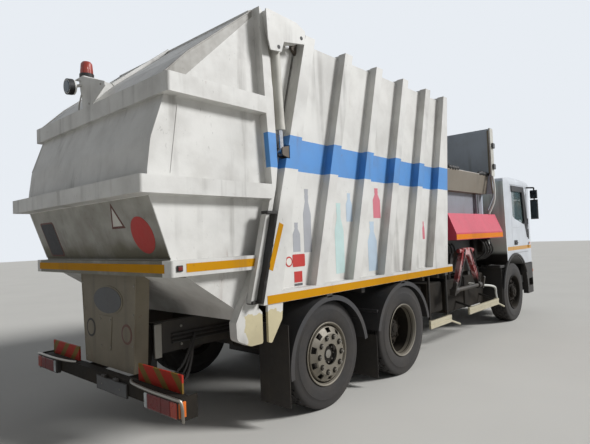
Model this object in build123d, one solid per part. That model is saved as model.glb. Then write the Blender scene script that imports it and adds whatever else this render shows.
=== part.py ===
"""Side-loading refuse truck with three axles.

Units are millimetres. X points forward, Y to the truck's left, Z up. The origin is on the ground
under the middle of the truck. Each node is written to parts/NODE.step.
"""

import os
from math import hypot, radians, sin, tan

from build123d import *

os.makedirs("parts", exist_ok=True)

# Driving dimensions
LENGTH = 8860
REAR_X, NOSE_X = -LENGTH / 2, LENGTH / 2
HALF_WIDTH = 1250
TAG_X = -2460
DRIVE_X = TAG_X + 1400
FRONT_X = TAG_X + 5520
HUB_Z = 520

# Frame rails and axles
RAIL_OUT, RAIL_WEB, RAIL_FLANGE = 430, 8, 80
RAIL_LOW, RAIL_TOP = 690, 960
RAIL_REAR, RAIL_FRONT = REAR_X + 560, NOSE_X - 420
SPRING_Y = 345
KINGPIN_Y, PIN_R = 840, 20

# Wheels
TYRE_R, TYRE_HALF = 520, 150
BORE_R, BARREL_R, WALL_R = 286, 284, 274
STUB_R = 42
FRONT_Y, TAG_Y, TWIN_Y = 1040, 1050, (735, 1085)

# Refuse body
FLOOR_Z, SILL_TOP, WALL_TOP, RIB_TOP = 1100, 1200, 3500, 3560
SEAM_LOW, LEAN = TAG_X - 886, 0.274
WALL_Y, SHEET = 1160, 30
RIB_LEAN = 0.2655
RIB_FIRST, RIB_PITCH, RIB_COUNT, RIB_WIDTH = TAG_X - 199, 600, 4, 130
FRONT_LOW, FRONT_TOP = TAG_X + 2640, TAG_X + 2870
SILL_FRONT = TAG_X + 2790

# Tailgate
GATE_GAP, GATE_Y, POST_Y = 14, 1120, 1205
HINGE = (TAG_X - 300, 3500)
RAM_TOP, RAM_LOW = (TAG_X - 590, 3340), (TAG_X - 545, 2420)
RAM_LENGTH = hypot(RAM_LOW[0] - RAM_TOP[0], RAM_LOW[1] - RAM_TOP[1])
RAM_Y, RAM_R, ROD_R = 1196, 46, 24

# Hopper and lifter
HOPPER_FRONT = TAG_X + 4800
HOPPER_Y, HOPPER_FLOOR = 960, 1160
CHUTE_LOW, CHUTE_TOP, SHIELD_TOP = 2280, 2600, 3410
HOOD_REAR, HOOD_FRONT = TAG_X + 2970, TAG_X + 4870
GUIDE_X, GUIDE_TOP = (640, 1360), 1030
ARM_X = TAG_X + 3500
ARM_PIVOT, HOOK_PIVOT = (-1150, 1360), (-1150, 800)

# Cab
CAB_REAR, CAB_Y = TAG_X + 5040, 1232
CAB_FLOOR, CAB_ROOF, CAB_WALL = 1000, 2570, 50
DOOR = [(2950, 2470, 60), (2962, 1560), (3010, 1225), (3850, 1225), (3850, 1850), (3700, 2470, 90)]
DOOR_WINDOW = [(3000, 2420, 40), (3015, 1900, 60), (3120, 1850), (3660, 1740, 40), (3740, 1830),
               (3640, 2420, 60)]
DOOR_HINGE, HINGE_R = (3866, 1241), 8
SCREEN_LOW, SCREEN_TOP, SCREEN_HALF = 1760, 2440, 1090
BUMPER_LOW, BUMPER_TOP = 420, 990


def rounded(points, place):
    """Closed outline of (u, v) points; a third number in a point is that corner's radius."""
    corners = []
    for i, (u, v, *radius) in enumerate(points):
        here = Vector(u, v)
        if not radius:
            corners.append((here, here, here))
            continue
        back = (Vector(*points[i - 1][:2]) - here).normalized()
        ahead = (Vector(*points[(i + 1) % len(points)][:2]) - here).normalized()
        half = radians(back.get_angle(ahead)) / 2
        reach = radius[0] / tan(half)
        middle = here + (back + ahead).normalized() * (radius[0] / sin(half) - radius[0])
        corners.append((here + back * reach, middle, here + ahead * reach))
    edges = []
    for corner, following in zip(corners, corners[1:] + corners[:1]):
        start, middle, end = (place(p.X, p.Y) for p in corner)
        if start != end:
            edges.append(Edge.make_three_point_arc(start, middle, end))
        edges.append(Edge.make_line(end, place(following[0].X, following[0].Y)))
    return Face(Wire(edges))


def block(x0, x1, y0, y1, z0, z1):
    """Box between two corners."""
    return Pos((x0 + x1) / 2, (y0 + y1) / 2, (z0 + z1) / 2) * Box(x1 - x0, y1 - y0, z1 - z0)


def side(points, y0, y1):
    """Side-view outline (x, z) extruded across the truck."""
    return extrude(rounded(points, lambda x, z: (x, y0, z)), amount=y1 - y0, dir=(0, 1, 0))


def plan(points, z0, z1):
    """Plan outline (x, y) extruded upwards."""
    return extrude(rounded(points, lambda x, y: (x, y, z0)), amount=z1 - z0, dir=(0, 0, 1))


def across(points, x0, x1):
    """Rear-view outline (y, z) extruded forwards."""
    return extrude(rounded(points, lambda y, z: (x0, y, z)), amount=x1 - x0, dir=(1, 0, 0))


def bar(start, end, radius):
    """Round bar between two points."""
    a, b = Vector(*start), Vector(*end)
    return Solid.make_cylinder(radius, (b - a).length, Plane(origin=a, z_dir=b - a))


def turned(profile, x, y, z=HUB_Z, start=0, arc=360):
    """Profile of (y offset, radius) points turned about a line along Y through (x, y, z)."""
    axis = Axis((x, y, z), (0, 1, 0))
    face = rounded(profile, lambda offset_y, r: (x, y + offset_y, z + r))
    return revolve(face.rotate(axis, start), axis, arc)


def other_side(shape):
    """Mirror image on the left of the truck."""
    return mirror(shape, about=Plane.XZ)


def pair(*shapes):
    """The shapes and their mirror images."""
    return [*shapes, *(other_side(s) for s in shapes)]


def fuse(shapes):
    """One part from a list of shapes."""
    first, *rest = shapes
    return first + rest if rest else first


def save(name, *shapes):
    """Write one node."""
    solids = [s for shape in shapes for s in shape.solids()]
    export_step(Compound(solids), f"parts/{name}.step")


def seam_x(z):
    """X of the joint plane between body and tailgate at height z."""
    return SEAM_LOW + (z - FLOOR_Z) * LEAN


def gate_x(z):
    """X of the tailgate's front plane at height z."""
    return seam_x(z) - GATE_GAP


def front_x(z):
    """X of the refuse body's front plane at height z."""
    return FRONT_LOW + (z - FLOOR_Z) * (FRONT_TOP - FRONT_LOW) / (WALL_TOP - FLOOR_Z)


# Chassis: ladder frame, axles, knuckles and boxes

def frame_rails():
    """Channel rails with their cross members and the cab's mounts."""
    rail = block(RAIL_REAR, RAIL_FRONT, -RAIL_OUT, -RAIL_OUT + RAIL_FLANGE, RAIL_LOW, RAIL_TOP)
    rail -= block(RAIL_REAR - 1, RAIL_FRONT + 1, -RAIL_OUT + RAIL_WEB, -RAIL_OUT + RAIL_FLANGE + 1,
                  RAIL_LOW + RAIL_WEB, RAIL_TOP - RAIL_WEB)
    inner = RAIL_OUT - RAIL_WEB
    members = [block(x - 35, x + 35, -inner, inner, RAIL_LOW + 60, RAIL_TOP - 50)
               for x in (TAG_X - 620, TAG_X + 690, DRIVE_X + 640, 300, 1350, 2250, RAIL_FRONT - 60)]
    members.append(block(RAIL_REAR, RAIL_REAR + 30, -inner, inner, RAIL_LOW, RAIL_TOP))
    mounts = [block(x - 50, x + 50, -RAIL_OUT, -RAIL_OUT + RAIL_FLANGE, RAIL_TOP, CAB_FLOOR - 1)
              for x in (CAB_REAR + 150, RAIL_FRONT - 60)]
    return fuse([rail, other_side(rail), *members, *pair(*mounts)])


def body_subframe():
    """Beams and outriggers that carry the refuse body, and the hopper's legs."""
    beams = pair(block(seam_x(FLOOR_Z) + 60, GUIDE_X[0] - 10, -RAIL_OUT, -RAIL_OUT + RAIL_FLANGE,
                       RAIL_TOP + 1, FLOOR_Z - 1))
    outriggers = [block(x - 30, x + 30, -WALL_Y, WALL_Y, FLOOR_Z - 70, FLOOR_Z - 1)
                  for x in (TAG_X + 700, DRIVE_X + 690, 60)]
    legs = pair(block(1900, 2250, -RAIL_OUT, -RAIL_OUT + 70, RAIL_TOP + 1, HOPPER_FLOOR - 1))
    return [fuse([*beams, *outriggers]), *legs]


def air_springs(x, reach):
    """Spring beams under the rails with a bellows at each end."""
    parts = []
    for y in (-SPRING_Y, SPRING_Y):
        parts.append(side([(x - reach - 110, HUB_Z + 50), (x - reach - 110, HUB_Z + 90),
                           (x + reach + 110, HUB_Z + 90), (x + reach + 110, HUB_Z + 50),
                           (x + 90, HUB_Z + 20), (x - 90, HUB_Z + 20)], y - 45, y + 45))
        parts += [bar((x + dx, y, HUB_Z + 85), (x + dx, y, RAIL_LOW - 1), 85)
                  for dx in (-reach, reach)]
    return parts


def driven_axle():
    """Banjo housing with its tubes, stubs, nose and springs."""
    tube = bar((DRIVE_X, -800, HUB_Z), (DRIVE_X, 800, HUB_Z), 72)
    stubs = bar((DRIVE_X, -1040, HUB_Z), (DRIVE_X, 1040, HUB_Z), STUB_R)
    banjo = turned([(-90, 0), (-90, 205), (90, 205), (90, 0)], DRIVE_X, 0)
    nose = bar((DRIVE_X, 0, HUB_Z + 20), (DRIVE_X + 340, 0, HUB_Z + 60), 95)
    return fuse([tube, stubs, banjo, nose, *air_springs(DRIVE_X, 300)])


def trailing_axle():
    """Square beam of the tag axle with its stubs and springs."""
    beam = block(TAG_X - 62, TAG_X + 62, -940, 940, HUB_Z - 62, HUB_Z + 62)
    stubs = bar((TAG_X, -TAG_Y - 100, HUB_Z), (TAG_X, TAG_Y + 100, HUB_Z), STUB_R)
    return fuse([beam, stubs, *air_springs(TAG_X, 290)])


def steering_beam():
    """Front axle beam, cranked down between the spring seats, with kingpin bosses."""
    x = FRONT_X
    right = [(-790, 470), (-790, 570), (-700, 570), (-600, 535)]
    left = [(-y, z) for y, z in reversed(right)]
    crank = across([*right, *left, (700, 470), (600, 420), (-600, 420), (-700, 470)],
                   x - 42, x + 42)
    bosses = pair(bar((x, -KINGPIN_Y, 470), (x, -KINGPIN_Y, 570), 50))
    bores = pair(bar((x, -KINGPIN_Y, 460), (x, -KINGPIN_Y, 580), PIN_R + 0.5))
    leaves = []
    for y in (-385, 385):
        leaves.append(side([(x - 690, 640), (x - 690, 665), (x - 60, 575), (x + 60, 575),
                            (x + 690, 665), (x + 690, 640), (x + 60, 534), (x - 60, 534)],
                           y - 40, y + 40))
        leaves += [block(x + dx - 30, x + dx + 30, y - 44, y + 44, 630, RAIL_LOW - 1)
                   for dx in (-675, 675)]
    return fuse([crank, *bosses, *leaves]) - bores


def knuckle():
    """Right steering knuckle: fork, kingpin, back plate and stub axle."""
    x, pin_y = FRONT_X, -KINGPIN_Y
    arms = [block(x - 50, x + 50, pin_y - 60, pin_y + 50, z0, z1)
            for z0, z1 in ((576, 612), (428, 464))]
    pin = bar((x, pin_y, 428), (x, pin_y, 612), PIN_R)
    back = block(x - 62, x + 62, pin_y - 95, pin_y - 58, 428, 612)
    stub = bar((x, pin_y - 90, HUB_Z), (x, -FRONT_Y - 100, HUB_Z), STUB_R)
    return fuse([*arms, pin, back, stub])


def side_boxes():
    """Fuel tank and battery box on the left, air tanks between the rails."""
    tank = side([(1560, 470, 70), (1560, 930, 70), (2330, 930, 70), (2330, 470, 70)], 480, 1120)
    box = block(760, 1440, 480, 1090, 520, 930)
    air = [bar((-280, y, 545), (420, y, 545), 112) for y in (-250, 250)]
    return tank, box, *air


# Wheels: profiles are (y offset, radius) with the outer side of a right-hand wheel negative

def tyre(x, y):
    """Tyre with flat sidewalls, chamfered shoulders and an open bore."""
    return turned([(-TYRE_HALF, BORE_R), (-TYRE_HALF, TYRE_R - 24), (-126, TYRE_R), (126, TYRE_R),
                   (TYRE_HALF, TYRE_R - 24), (TYRE_HALF, BORE_R)], x, y)


def hand_holes(x, y, ring, count, size):
    """Ventilation windows through a wheel disc."""
    window = Rot(90, 0, 0) * extrude(RegularPolygon(size, 6), amount=60, both=True)
    return [Pos(x, y, HUB_Z) * Rot(0, 360 / count * (k + 0.5), 0) * Pos(ring, 0, 0) * window
            for k in range(count)]


def single_rim(x, y):
    """Right-hand single rim: barrel, disc near its outer edge, hub and stub bore."""
    wheel = turned([(-146, BARREL_R), (140, BARREL_R), (140, WALL_R), (-70, WALL_R),
                    (-70, STUB_R + 0.5), (-104, STUB_R + 0.5), (-104, 0), (-134, 0), (-134, 105),
                    (-86, 105), (-86, WALL_R), (-146, WALL_R)], x, y)
    return wheel - hand_holes(x, y - 60, 236, 10, 20)


def twin_rims(x):
    """Right-hand pair of rims, bolted disc to disc, with the hub in the outer dish."""
    middle = -sum(TWIN_Y) / 2
    wheel = turned([(-321, BARREL_R), (315, BARREL_R), (315, WALL_R), (14, WALL_R),
                    (14, STUB_R + 0.5), (-132, STUB_R + 0.5), (-132, 0), (-185, 0), (-185, 100),
                    (-14, 100), (-14, WALL_R), (-321, WALL_R)], x, middle)
    return wheel - hand_holes(x, middle, 212, 8, 22)


# Cab

def cab_block(inset):
    """Cab envelope moved inwards: side view, crowned plan and rounded rear view crossed."""
    rear, y, nose, roof = CAB_REAR + inset, CAB_Y - inset, NOSE_X - 30 - inset, CAB_ROOF - inset
    profile = side([(rear + 70, 940), (rear, roof, 110 - inset), (3250, roof + 55, 900),
                    (4020, roof - 10, 170 - inset), (4330 - inset, 1700, 200), (nose, 1150),
                    (nose, 940)], -y, y)
    corner = (4250 - inset, y, 360 - inset)
    top = plan([(rear - 60, y), corner, (nose, 650, 1500), (nose, -650, 1500),
                (corner[0], -y, corner[2]), (rear - 60, -y)], 900, 2700)
    arch = across([(-y, 900), (-y, roof + 60, 130 - inset), (y, roof + 60, 130 - inset), (y, 900)],
                  rear - 60, nose + 10)
    return profile & top & arch


def through_side(points, grow):
    """Prism of an outline through the right cab wall, its corners moved out by an even amount."""
    face = rounded([p[:2] for p in points], lambda x, z: (x, -CAB_Y - 40, z))
    grown = offset(face, amount=grow, kind=Kind.INTERSECTION).faces()[0]
    return extrude(grown, amount=41 + CAB_WALL, dir=(0, 1, 0))


def cab_shell(full, room):
    """Hollow cab: floor, engine tunnel, wheel arches, door openings and windows cut."""
    floor = block(CAB_REAR, NOSE_X, -CAB_Y, CAB_Y, CAB_FLOOR, CAB_FLOOR + CAB_WALL)
    tunnel = block(CAB_REAR + 80, NOSE_X - 180, -420, 420, CAB_FLOOR, 1260)
    liner = turned([(45, 0), (45, 700), (550, 700), (550, 0)], FRONT_X, -CAB_Y - 40)
    walls = full - (room - fuse([floor, tunnel, *pair(liner)]))
    walls -= block(CAB_REAR, NOSE_X, -CAB_Y, CAB_Y, 900, CAB_FLOOR)
    walls -= block(CAB_REAR - 60, NOSE_X - 230, -370, 370, CAB_FLOOR - 1, 1210)
    arch = turned([(0, 0), (0, 660), (510, 660), (510, 0)], FRONT_X, -CAB_Y - 40)
    screen = block(3900, NOSE_X, -SCREEN_HALF, SCREEN_HALF, SCREEN_LOW, SCREEN_TOP)
    rear_window = block(CAB_REAR - 60, CAB_REAR + 120, -620, 620, 1800, 2250)
    shell = walls - [*pair(arch, through_side(DOOR, 6)), screen, rear_window]
    x, y = DOOR_HINGE
    leaves = [bar((x, -y, z), (x, -y, z + 40), HINGE_R)
              + block(x, x + 30, -y, -CAB_Y + 2, z, z + 40) for z in (1356, 1706)]
    return shell + pair(*leaves)


def cab_windows():
    """Windscreen curved like the cab's nose, and the rear window."""
    sheet = cab_block(16) - cab_block(23)
    front = sheet & block(3920, NOSE_X, -SCREEN_HALF + 2, SCREEN_HALF - 2, SCREEN_LOW + 2,
                          SCREEN_TOP - 2)
    rear = sheet & block(CAB_REAR, CAB_REAR + 120, -618, 618, 1802, 2248)
    return front, rear


def door(wall):
    """Right-hand door with its window cut and two hinge leaves."""
    panel = (wall & through_side(DOOR, 0)) - through_side(DOOR_WINDOW, 0)
    x, y = DOOR_HINGE
    leaves = [bar((x, -y, z), (x, -y, z + 50), HINGE_R)
              + block(x - 40, x, -y, -CAB_Y - 1.5, z, z + 50)
              + block(x - 40, x - 16, -y, -CAB_Y + 2, z, z + 50) for z in (1300, 1650)]
    return fuse([panel, *leaves])


def door_window():
    """Right-hand door window."""
    return through_side(DOOR_WINDOW, -2) & block(2900, 3900, -CAB_Y + 20, -CAB_Y + 26, 1700, 2500)


def seat():
    """Right-hand seat: base, cushion and leaning back."""
    return fuse([block(2940, 3220, -715, -540, CAB_FLOOR + CAB_WALL + 1, 1260),
                 side([(2880, 1250), (2880, 1370), (3370, 1400, 40), (3370, 1250)], -900, -440),
                 side([(2880, 1360), (2730, 2000, 40), (2830, 2060, 40), (2990, 1360)], -890, -450)])


def dashboard():
    """Dashboard over the tunnel, with the steering column, wheel ring and spokes."""
    dash = side([(3930, 1060), (4300, 1060), (4300, 1640), (4010, 1590, 60), (3900, 1440, 40)],
                -1150, 1150) & cab_block(CAB_WALL + 8)
    dash -= block(3900, NOSE_X, -428, 428, 1050, 1268)
    place = Pos(3690, 560, 1630) * Rot(0, -62, 0)
    ring = place * (Cylinder(230, 26) - Cylinder(202, 28))
    spokes = [place * Rot(0, 0, a) * Pos(104, 0, 0) * Box(208, 30, 12) for a in (0, 120, 240)]
    return fuse([dash, ring, *spokes, bar((3690, 560, 1630), (3990, 560, 1470), 26)])


def mirror_set():
    """Right-hand mirrors ahead of the door: arm from the roof corner and two housings."""
    x = 3920
    arm = fuse([bar((x - 30, -1150, 2465), (x, -1365, 2448), 15),
                bar((x, -1365, 2452), (x, -1365, 1850), 13)])
    housings = [plan([(x - 45, y0, 30), (x - 45, y1, 30), (x + 40, y1 + 20, 30), (x + 40, y0 - 20, 30)],
                     z0, z1) for y0, y1, z0, z1 in ((-1285, -1440, 1840, 2215),
                                                    (-1290, -1435, 2240, 2400))]
    return fuse([*housings, arm - cab_block(-1)])


def bumper_band(inset, low, high):
    """Bumper volume moved inwards by an amount."""
    y, corner = CAB_Y - inset, NOSE_X - 150 - inset
    return plan([(3640, y), (corner, y, 360 - inset), (NOSE_X - inset, 650, 1500),
                 (NOSE_X - inset, -650, 1500), (corner, -y, 360 - inset), (3640, -y)], low, high)


def lamp_boxes(shrink):
    """Headlamp volumes in the bumper's corners."""
    return pair(block(4120, NOSE_X, -1090 + shrink, -800 - shrink, 570 + shrink, 720 - shrink))


def bumper(band):
    """Bumper with side wings, steps, wheel arch edges, lamp openings and air slot."""
    sweep = turned([(0, 0), (0, 670), (2 * HALF_WIDTH, 670), (2 * HALF_WIDTH, 0)],
                   FRONT_X, -HALF_WIDTH)
    steps = pair(block(3800, 4080, -CAB_Y - 1, -CAB_Y + 70, 560, 700))
    slots = [block(4200, NOSE_X + 1, -520, 520, z, z + 60) for z in (560, 650, 790, 880)]
    return band - [sweep, *steps, *slots, *lamp_boxes(0)]


# Refuse body

def body_shell():
    """Floor, side walls and roof of the refuse body, open to the hopper and the tailgate."""
    outer = side([(seam_x(FLOOR_Z), FLOOR_Z), (seam_x(WALL_TOP), WALL_TOP),
                  (front_x(WALL_TOP), WALL_TOP), (front_x(FLOOR_Z), FLOOR_Z)], -WALL_Y, WALL_Y)
    low, high = FLOOR_Z + 50, WALL_TOP - 40
    inner = side([(seam_x(low) - 300, low), (seam_x(high) - 300, high), (front_x(high) + 300, high),
                  (front_x(low) + 300, low)], -WALL_Y + SHEET, WALL_Y - SHEET)
    lip = block(HINGE[0] - 20, seam_x(WALL_TOP) + 30, -1050, 1050, WALL_TOP - 36, WALL_TOP)
    return outer - inner + lip


def leaning_post(low, low_width, top, top_width):
    """Post on the right wall from the sill to the roof; low and top are its rear edges."""
    return side([(low, SILL_TOP), (top, RIB_TOP), (top + top_width, RIB_TOP),
                 (low + low_width, SILL_TOP)], -HALF_WIDTH, -WALL_Y)


def body_ribs():
    """Ribs, posts and sill of the right side, with the notch for the cylinder's eye."""
    run = (RIB_TOP - SILL_TOP) * RIB_LEAN
    starts = [RIB_FIRST + k * RIB_PITCH for k in range(RIB_COUNT)]
    ribs = [leaning_post(x, RIB_WIDTH, x + run, RIB_WIDTH) for x in starts]
    rear = leaning_post(seam_x(SILL_TOP), 200, seam_x(RIB_TOP), 140)
    front = leaning_post(TAG_X + 2190, FRONT_LOW - TAG_X - 2190, front_x(WALL_TOP) - 110, 110)
    sill = side([(seam_x(FLOOR_Z), FLOOR_Z), (seam_x(SILL_TOP), SILL_TOP), (SILL_FRONT, SILL_TOP),
                 (SILL_FRONT, FLOOR_Z)], -HALF_WIDTH, -WALL_Y)
    gusset = side([(TAG_X - 830, 1130), (TAG_X - 640, 1130), (TAG_X - 660, 960, 60),
                   (TAG_X - 795, 775, 20), (TAG_X - 830, 790)], -1240, -1215)
    x, z = RAM_LOW
    notch = block(x - 90, x + 50, -HALF_WIDTH - 1, -WALL_Y, z - 60, z + 60)
    return fuse([*ribs, rear, front, sill, gusset]) - notch


def roof_hoops():
    """Ribs carried over the roof from side to side."""
    run = (RIB_TOP - SILL_TOP) * RIB_LEAN
    starts = [RIB_FIRST + k * RIB_PITCH + run for k in range(RIB_COUNT)]
    return [block(x, x + 110, -WALL_Y + 1, WALL_Y - 1, WALL_TOP + 1, RIB_TOP - 8)
            for x in (*starts, front_x(WALL_TOP) - 110)]


def hopper():
    """Loading hopper: floor, left wall, low right wall with the chute panel, tall front shield."""
    gap, front = 2, HOPPER_FRONT
    floor_top = HOPPER_FLOOR + 40
    left = side([(front_x(HOPPER_FLOOR) + gap, HOPPER_FLOOR), (front_x(3430) + gap, 3430),
                 (front, 3430), (front, HOPPER_FLOOR)], WALL_Y - SHEET, WALL_Y)
    floor = block(front_x(floor_top) + gap, front, -HOPPER_Y, WALL_Y - SHEET, HOPPER_FLOOR, floor_top)
    right = side([(front_x(floor_top) + gap, floor_top), (front_x(CHUTE_LOW) + gap, CHUTE_LOW),
                  (front, CHUTE_LOW), (front, floor_top)], -HOPPER_Y, -HOPPER_Y + SHEET)
    shelf = block(front_x(CHUTE_LOW + 30) + gap, front, -1050, -HOPPER_Y + SHEET, CHUTE_LOW,
                  CHUTE_LOW + 30)
    chute = across([(-1050, CHUTE_LOW), (-1100, CHUTE_TOP, 12), (-1062, CHUTE_TOP, 12),
                    (-1015, CHUTE_LOW + 30), (-1015, CHUTE_LOW)], front_x(CHUTE_TOP) + gap, front)
    shield = [block(front - 40, front, -HOPPER_Y, WALL_Y, HOPPER_FLOOR, CHUTE_LOW + 20),
              block(front - 40, front, -WALL_Y, WALL_Y, CHUTE_LOW, SHIELD_TOP),
              block(front - 90, front, -1178, -1148, CHUTE_TOP + 2, SHIELD_TOP)]
    posts = [bar((TAG_X + x, -1000, 1945), (TAG_X + x, -1000, CHUTE_LOW), 16) for x in (4400, 4470)]
    return fuse([left, floor, right, shelf, chute, *shield, *posts])


def hopper_hose():
    """Hose clamped to the shield's edge and to the hood's front end."""
    x, y = HOPPER_FRONT - 130, -1195
    route = FilletPolyline((x, y + 30, 2560), (x, y, 2230), (x - 180, y + 40, 1990), radius=120)
    return sweep(Plane(origin=route @ 0, z_dir=route % 0) * Circle(13), path=route)


# Mudguards and flaps

def guard(x, radius, start, arc, depth):
    """Arched mudguard with a turned-down outer lip, its centre a little below the wheel's."""
    return turned([(0, radius - 48), (0, radius), (depth, radius), (depth, radius - 8),
                   (8, radius - 8), (8, radius - 48)], x, -HALF_WIDTH, HUB_Z - 45, start, arc)


def mudguards():
    """Right-hand mudguards over the tag and drive wheels, with their stays."""
    tag = guard(TAG_X + 20, 605, -97, 178, 380)
    drive = guard(TAG_X + 1430, 608, -78, 158, 680)
    stays = [bar((TAG_X + x, -1200, 800), (TAG_X + x, -RAIL_OUT - 1, 800), 20) for x in (539, 911)]
    return tag + stays[0], drive + stays[1]


# Tailgate: domed shell, frame with belts and hinge arms, beacon and two cylinders

GATE_OUTLINE = [(gate_x(3430), 3430), (HINGE[0] - 65, 3430), (HINGE[0] - 65, 3575),
                (TAG_X - 790, 3650, 30), (TAG_X - 1480, 3105), (TAG_X - 1712, 2870, 40),
                (TAG_X - 1690, 2744), (TAG_X - 1815, 2400, 300), (TAG_X - 1850, 2150, 300),
                (TAG_X - 1838, 1995), (TAG_X - 1675, 1530), (TAG_X - 1717, 1402),
                (TAG_X - 1560, 1396, 60), (TAG_X - 1080, 1085, 160), (TAG_X - 1040, 985),
                (gate_x(985), 985)]


def gate_shell():
    """Domed skin with folded roof, barrel panel and rounded underside, open to the body."""
    outer = side(GATE_OUTLINE, -GATE_Y, GATE_Y)
    face = rounded(GATE_OUTLINE, lambda x, z: (x, -GATE_Y + SHEET, z))
    inset = offset(face, amount=-SHEET, kind=Kind.INTERSECTION).faces()[0]
    hollow = extrude(inset, amount=2 * (GATE_Y - SHEET), dir=(0, 1, 0))
    mouth = side([(gate_x(z) + x, z) for x, z in ((60, 1040), (60, 3396), (-60, 3396), (-60, 1040))],
                 -GATE_Y + SHEET, GATE_Y - SHEET)
    return outer - hollow - mouth


def gate_frame():
    """Posts with latch toes, hinge arms under covers, three belts and the apex beam."""
    skin = side(GATE_OUTLINE, -GATE_Y, GATE_Y)
    (hx, hz), (tx, tz) = HINGE, RAM_TOP
    post = side([(TAG_X - 690, 3600), (TAG_X - 776, 3668), (TAG_X - 739, 2857), (TAG_X - 690, 2116),
                 (TAG_X - 860, 1500), (TAG_X - 1150, 990), (TAG_X - 1145, 850, 50),
                 (TAG_X - 1000, 782, 60), (TAG_X - 862, 782, 20), (TAG_X - 862, 1040),
                 (gate_x(1085), 1085), (gate_x(1250) - 18, 1250), (gate_x(2100) - 18, 2100),
                 (TAG_X - 612, 2300), (TAG_X - 640, 2970), (TAG_X - 680, 3310)], -POST_Y, -GATE_Y)
    arm = side([(TAG_X - 700, 3425), (TAG_X - 740, 3630), (hx - 60, 3590), (hx + 10, hz + 46, 20),
                (hx + 40, hz, 25), (hx, hz - 42, 25), (hx - 120, 3425)], -1240, -1170)
    spacer = side([(TAG_X - 700, 3440), (TAG_X - 720, 3600), (hx - 90, 3570), (hx - 90, 3440)],
                  -1256, -1240)
    cover = side([(TAG_X - 755, 3640, 12), (TAG_X - 363, 3628, 40), (hx + 58, 3580, 12),
                  (hx + 54, 3456, 12), (TAG_X - 540, 3400), (TAG_X - 575, 3300, 12),
                  (TAG_X - 713, 3286, 15), (TAG_X - 740, 3380)], -1268, -1256)
    pin = bar((tx, -1256, tz), (tx, -GATE_Y, tz), PIN_R)
    bore = bar((hx, -1256, hz), (hx, -1100, hz), PIN_R + 0.5)
    sleeve = side([(gate_x(z) - x, z) for x, z in ((18, 1876), (140, 1876), (150, 1136), (28, 1136))],
                  -1262, -POST_Y)
    belts = []
    for rear, front, low, high in ((-1730, -742, 2735, 2880), (-1970, -700, 1996, 2122),
                                   (-1745, -905, 1402, 1519)):
        belts.append(plan([(TAG_X + front, -1222), (TAG_X + rear, -1222, 25), (TAG_X + rear, 1222, 25),
                           (TAG_X + front, 1222)], low, high) - skin)
    apex = side([(TAG_X - 700, 3636), (TAG_X - 770, 3668), (TAG_X - 830, 3640), (TAG_X - 830, 3600),
                 (TAG_X - 700, 3600)], -GATE_Y, GATE_Y) - skin
    half = fuse([post, arm, spacer, cover, pin, sleeve]) - bore
    return fuse([*pair(half), *belts, apex])


def gate_brackets():
    """On the right: hinge ear with its pin, and the clevis of the cylinder rod."""
    (hx, hz), (bx, bz) = HINGE, RAM_LOW
    ear = side([(hx - 36, hz, 25), (hx, hz + 45, 25), (seam_x(hz + 45) - 14, hz + 45),
                (seam_x(3380) - 1, 3380), (hx - 20, 3430, 20)], -WALL_Y, -GATE_Y - 12)
    pin = bar((hx, -1246, hz), (hx, -GATE_Y - 12, hz), PIN_R)
    plates = [side([(bx - 40, bz - 34, 20), (bx - 40, bz + 34, 20), (bx + 49, bz + 55),
                    (bx + 49, bz - 55)], y0, y1) for y0, y1 in ((-1172, -1161), (-1244, -1232))]
    web = block(bx + 43, bx + 49, -1232, -1172, bz - 50, bz + 50)
    return ear + pin, fuse([*plates, web])


def on_ram(distance):
    """Point on the right cylinder's axis at a distance below the top pin."""
    t = distance / RAM_LENGTH
    return (RAM_TOP[0] + (RAM_LOW[0] - RAM_TOP[0]) * t, -RAM_Y,
            RAM_TOP[1] + (RAM_LOW[1] - RAM_TOP[1]) * t)


def ram_barrel():
    """Right cylinder barrel with its top boss, bored for the rod."""
    x, z = RAM_TOP
    boss = bar((x, -RAM_Y - 40, z), (x, -RAM_Y + 40, z), RAM_R)
    tube = bar(on_ram(20), on_ram(700), RAM_R - 2)
    gland = bar(on_ram(680), on_ram(725), RAM_R)
    bores = [bar(on_ram(150), on_ram(760), ROD_R + 0.5),
             bar((x, -1300, z), (x, -1000, z), PIN_R + 0.5)]
    return fuse([boss, tube, gland]) - bores


def ram_rod():
    """Right cylinder rod with its lower eye."""
    x, z = RAM_LOW
    shaft = bar(on_ram(170), on_ram(RAM_LENGTH), ROD_R)
    return shaft + bar((x, -RAM_Y - 30, z), (x, -RAM_Y + 19, z), 38)


def beacon_bracket():
    """Plate on the top belt with the beacon's shelf and the work lamp on its arm."""
    x = TAG_X - 1722
    plate = across([(-40, 2881), (120, 2881), (200, 3170), (110, 3170), (-290, 3030, 15),
                    (-290, 2995)], x - 4, x + 4)
    shelf = block(x - 4, x + 140, 110, 270, 3170, 3178)
    arm = bar((x, 150, 3100), (x - 75, 150, 3070), 14)
    lamp = bar((x - 70, 150, 3066), (x - 130, 150, 3060), 66)
    return fuse([plate, shelf, arm, lamp])


def beacon():
    """Amber beacon on the shelf."""
    x, y = TAG_X - 1722 + 68, 190
    return bar((x, y, 3179), (x, y, 3345), 60)


# Rear end

def rear_post():
    """Tapered panel under the tailgate, folded forwards at its edges and cut to the skin."""
    rear = TAG_X - 1605
    face = across([(-500, 1410), (500, 1410), (430, 570), (-430, 570)], rear, rear + 20)
    folds = pair(across([(-500, 1410), (-480, 1410), (-410, 570), (-430, 570)], rear + 20, rear + 128))
    return fuse([face, *folds]) - side(GATE_OUTLINE, -GATE_Y, GATE_Y)


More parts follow.
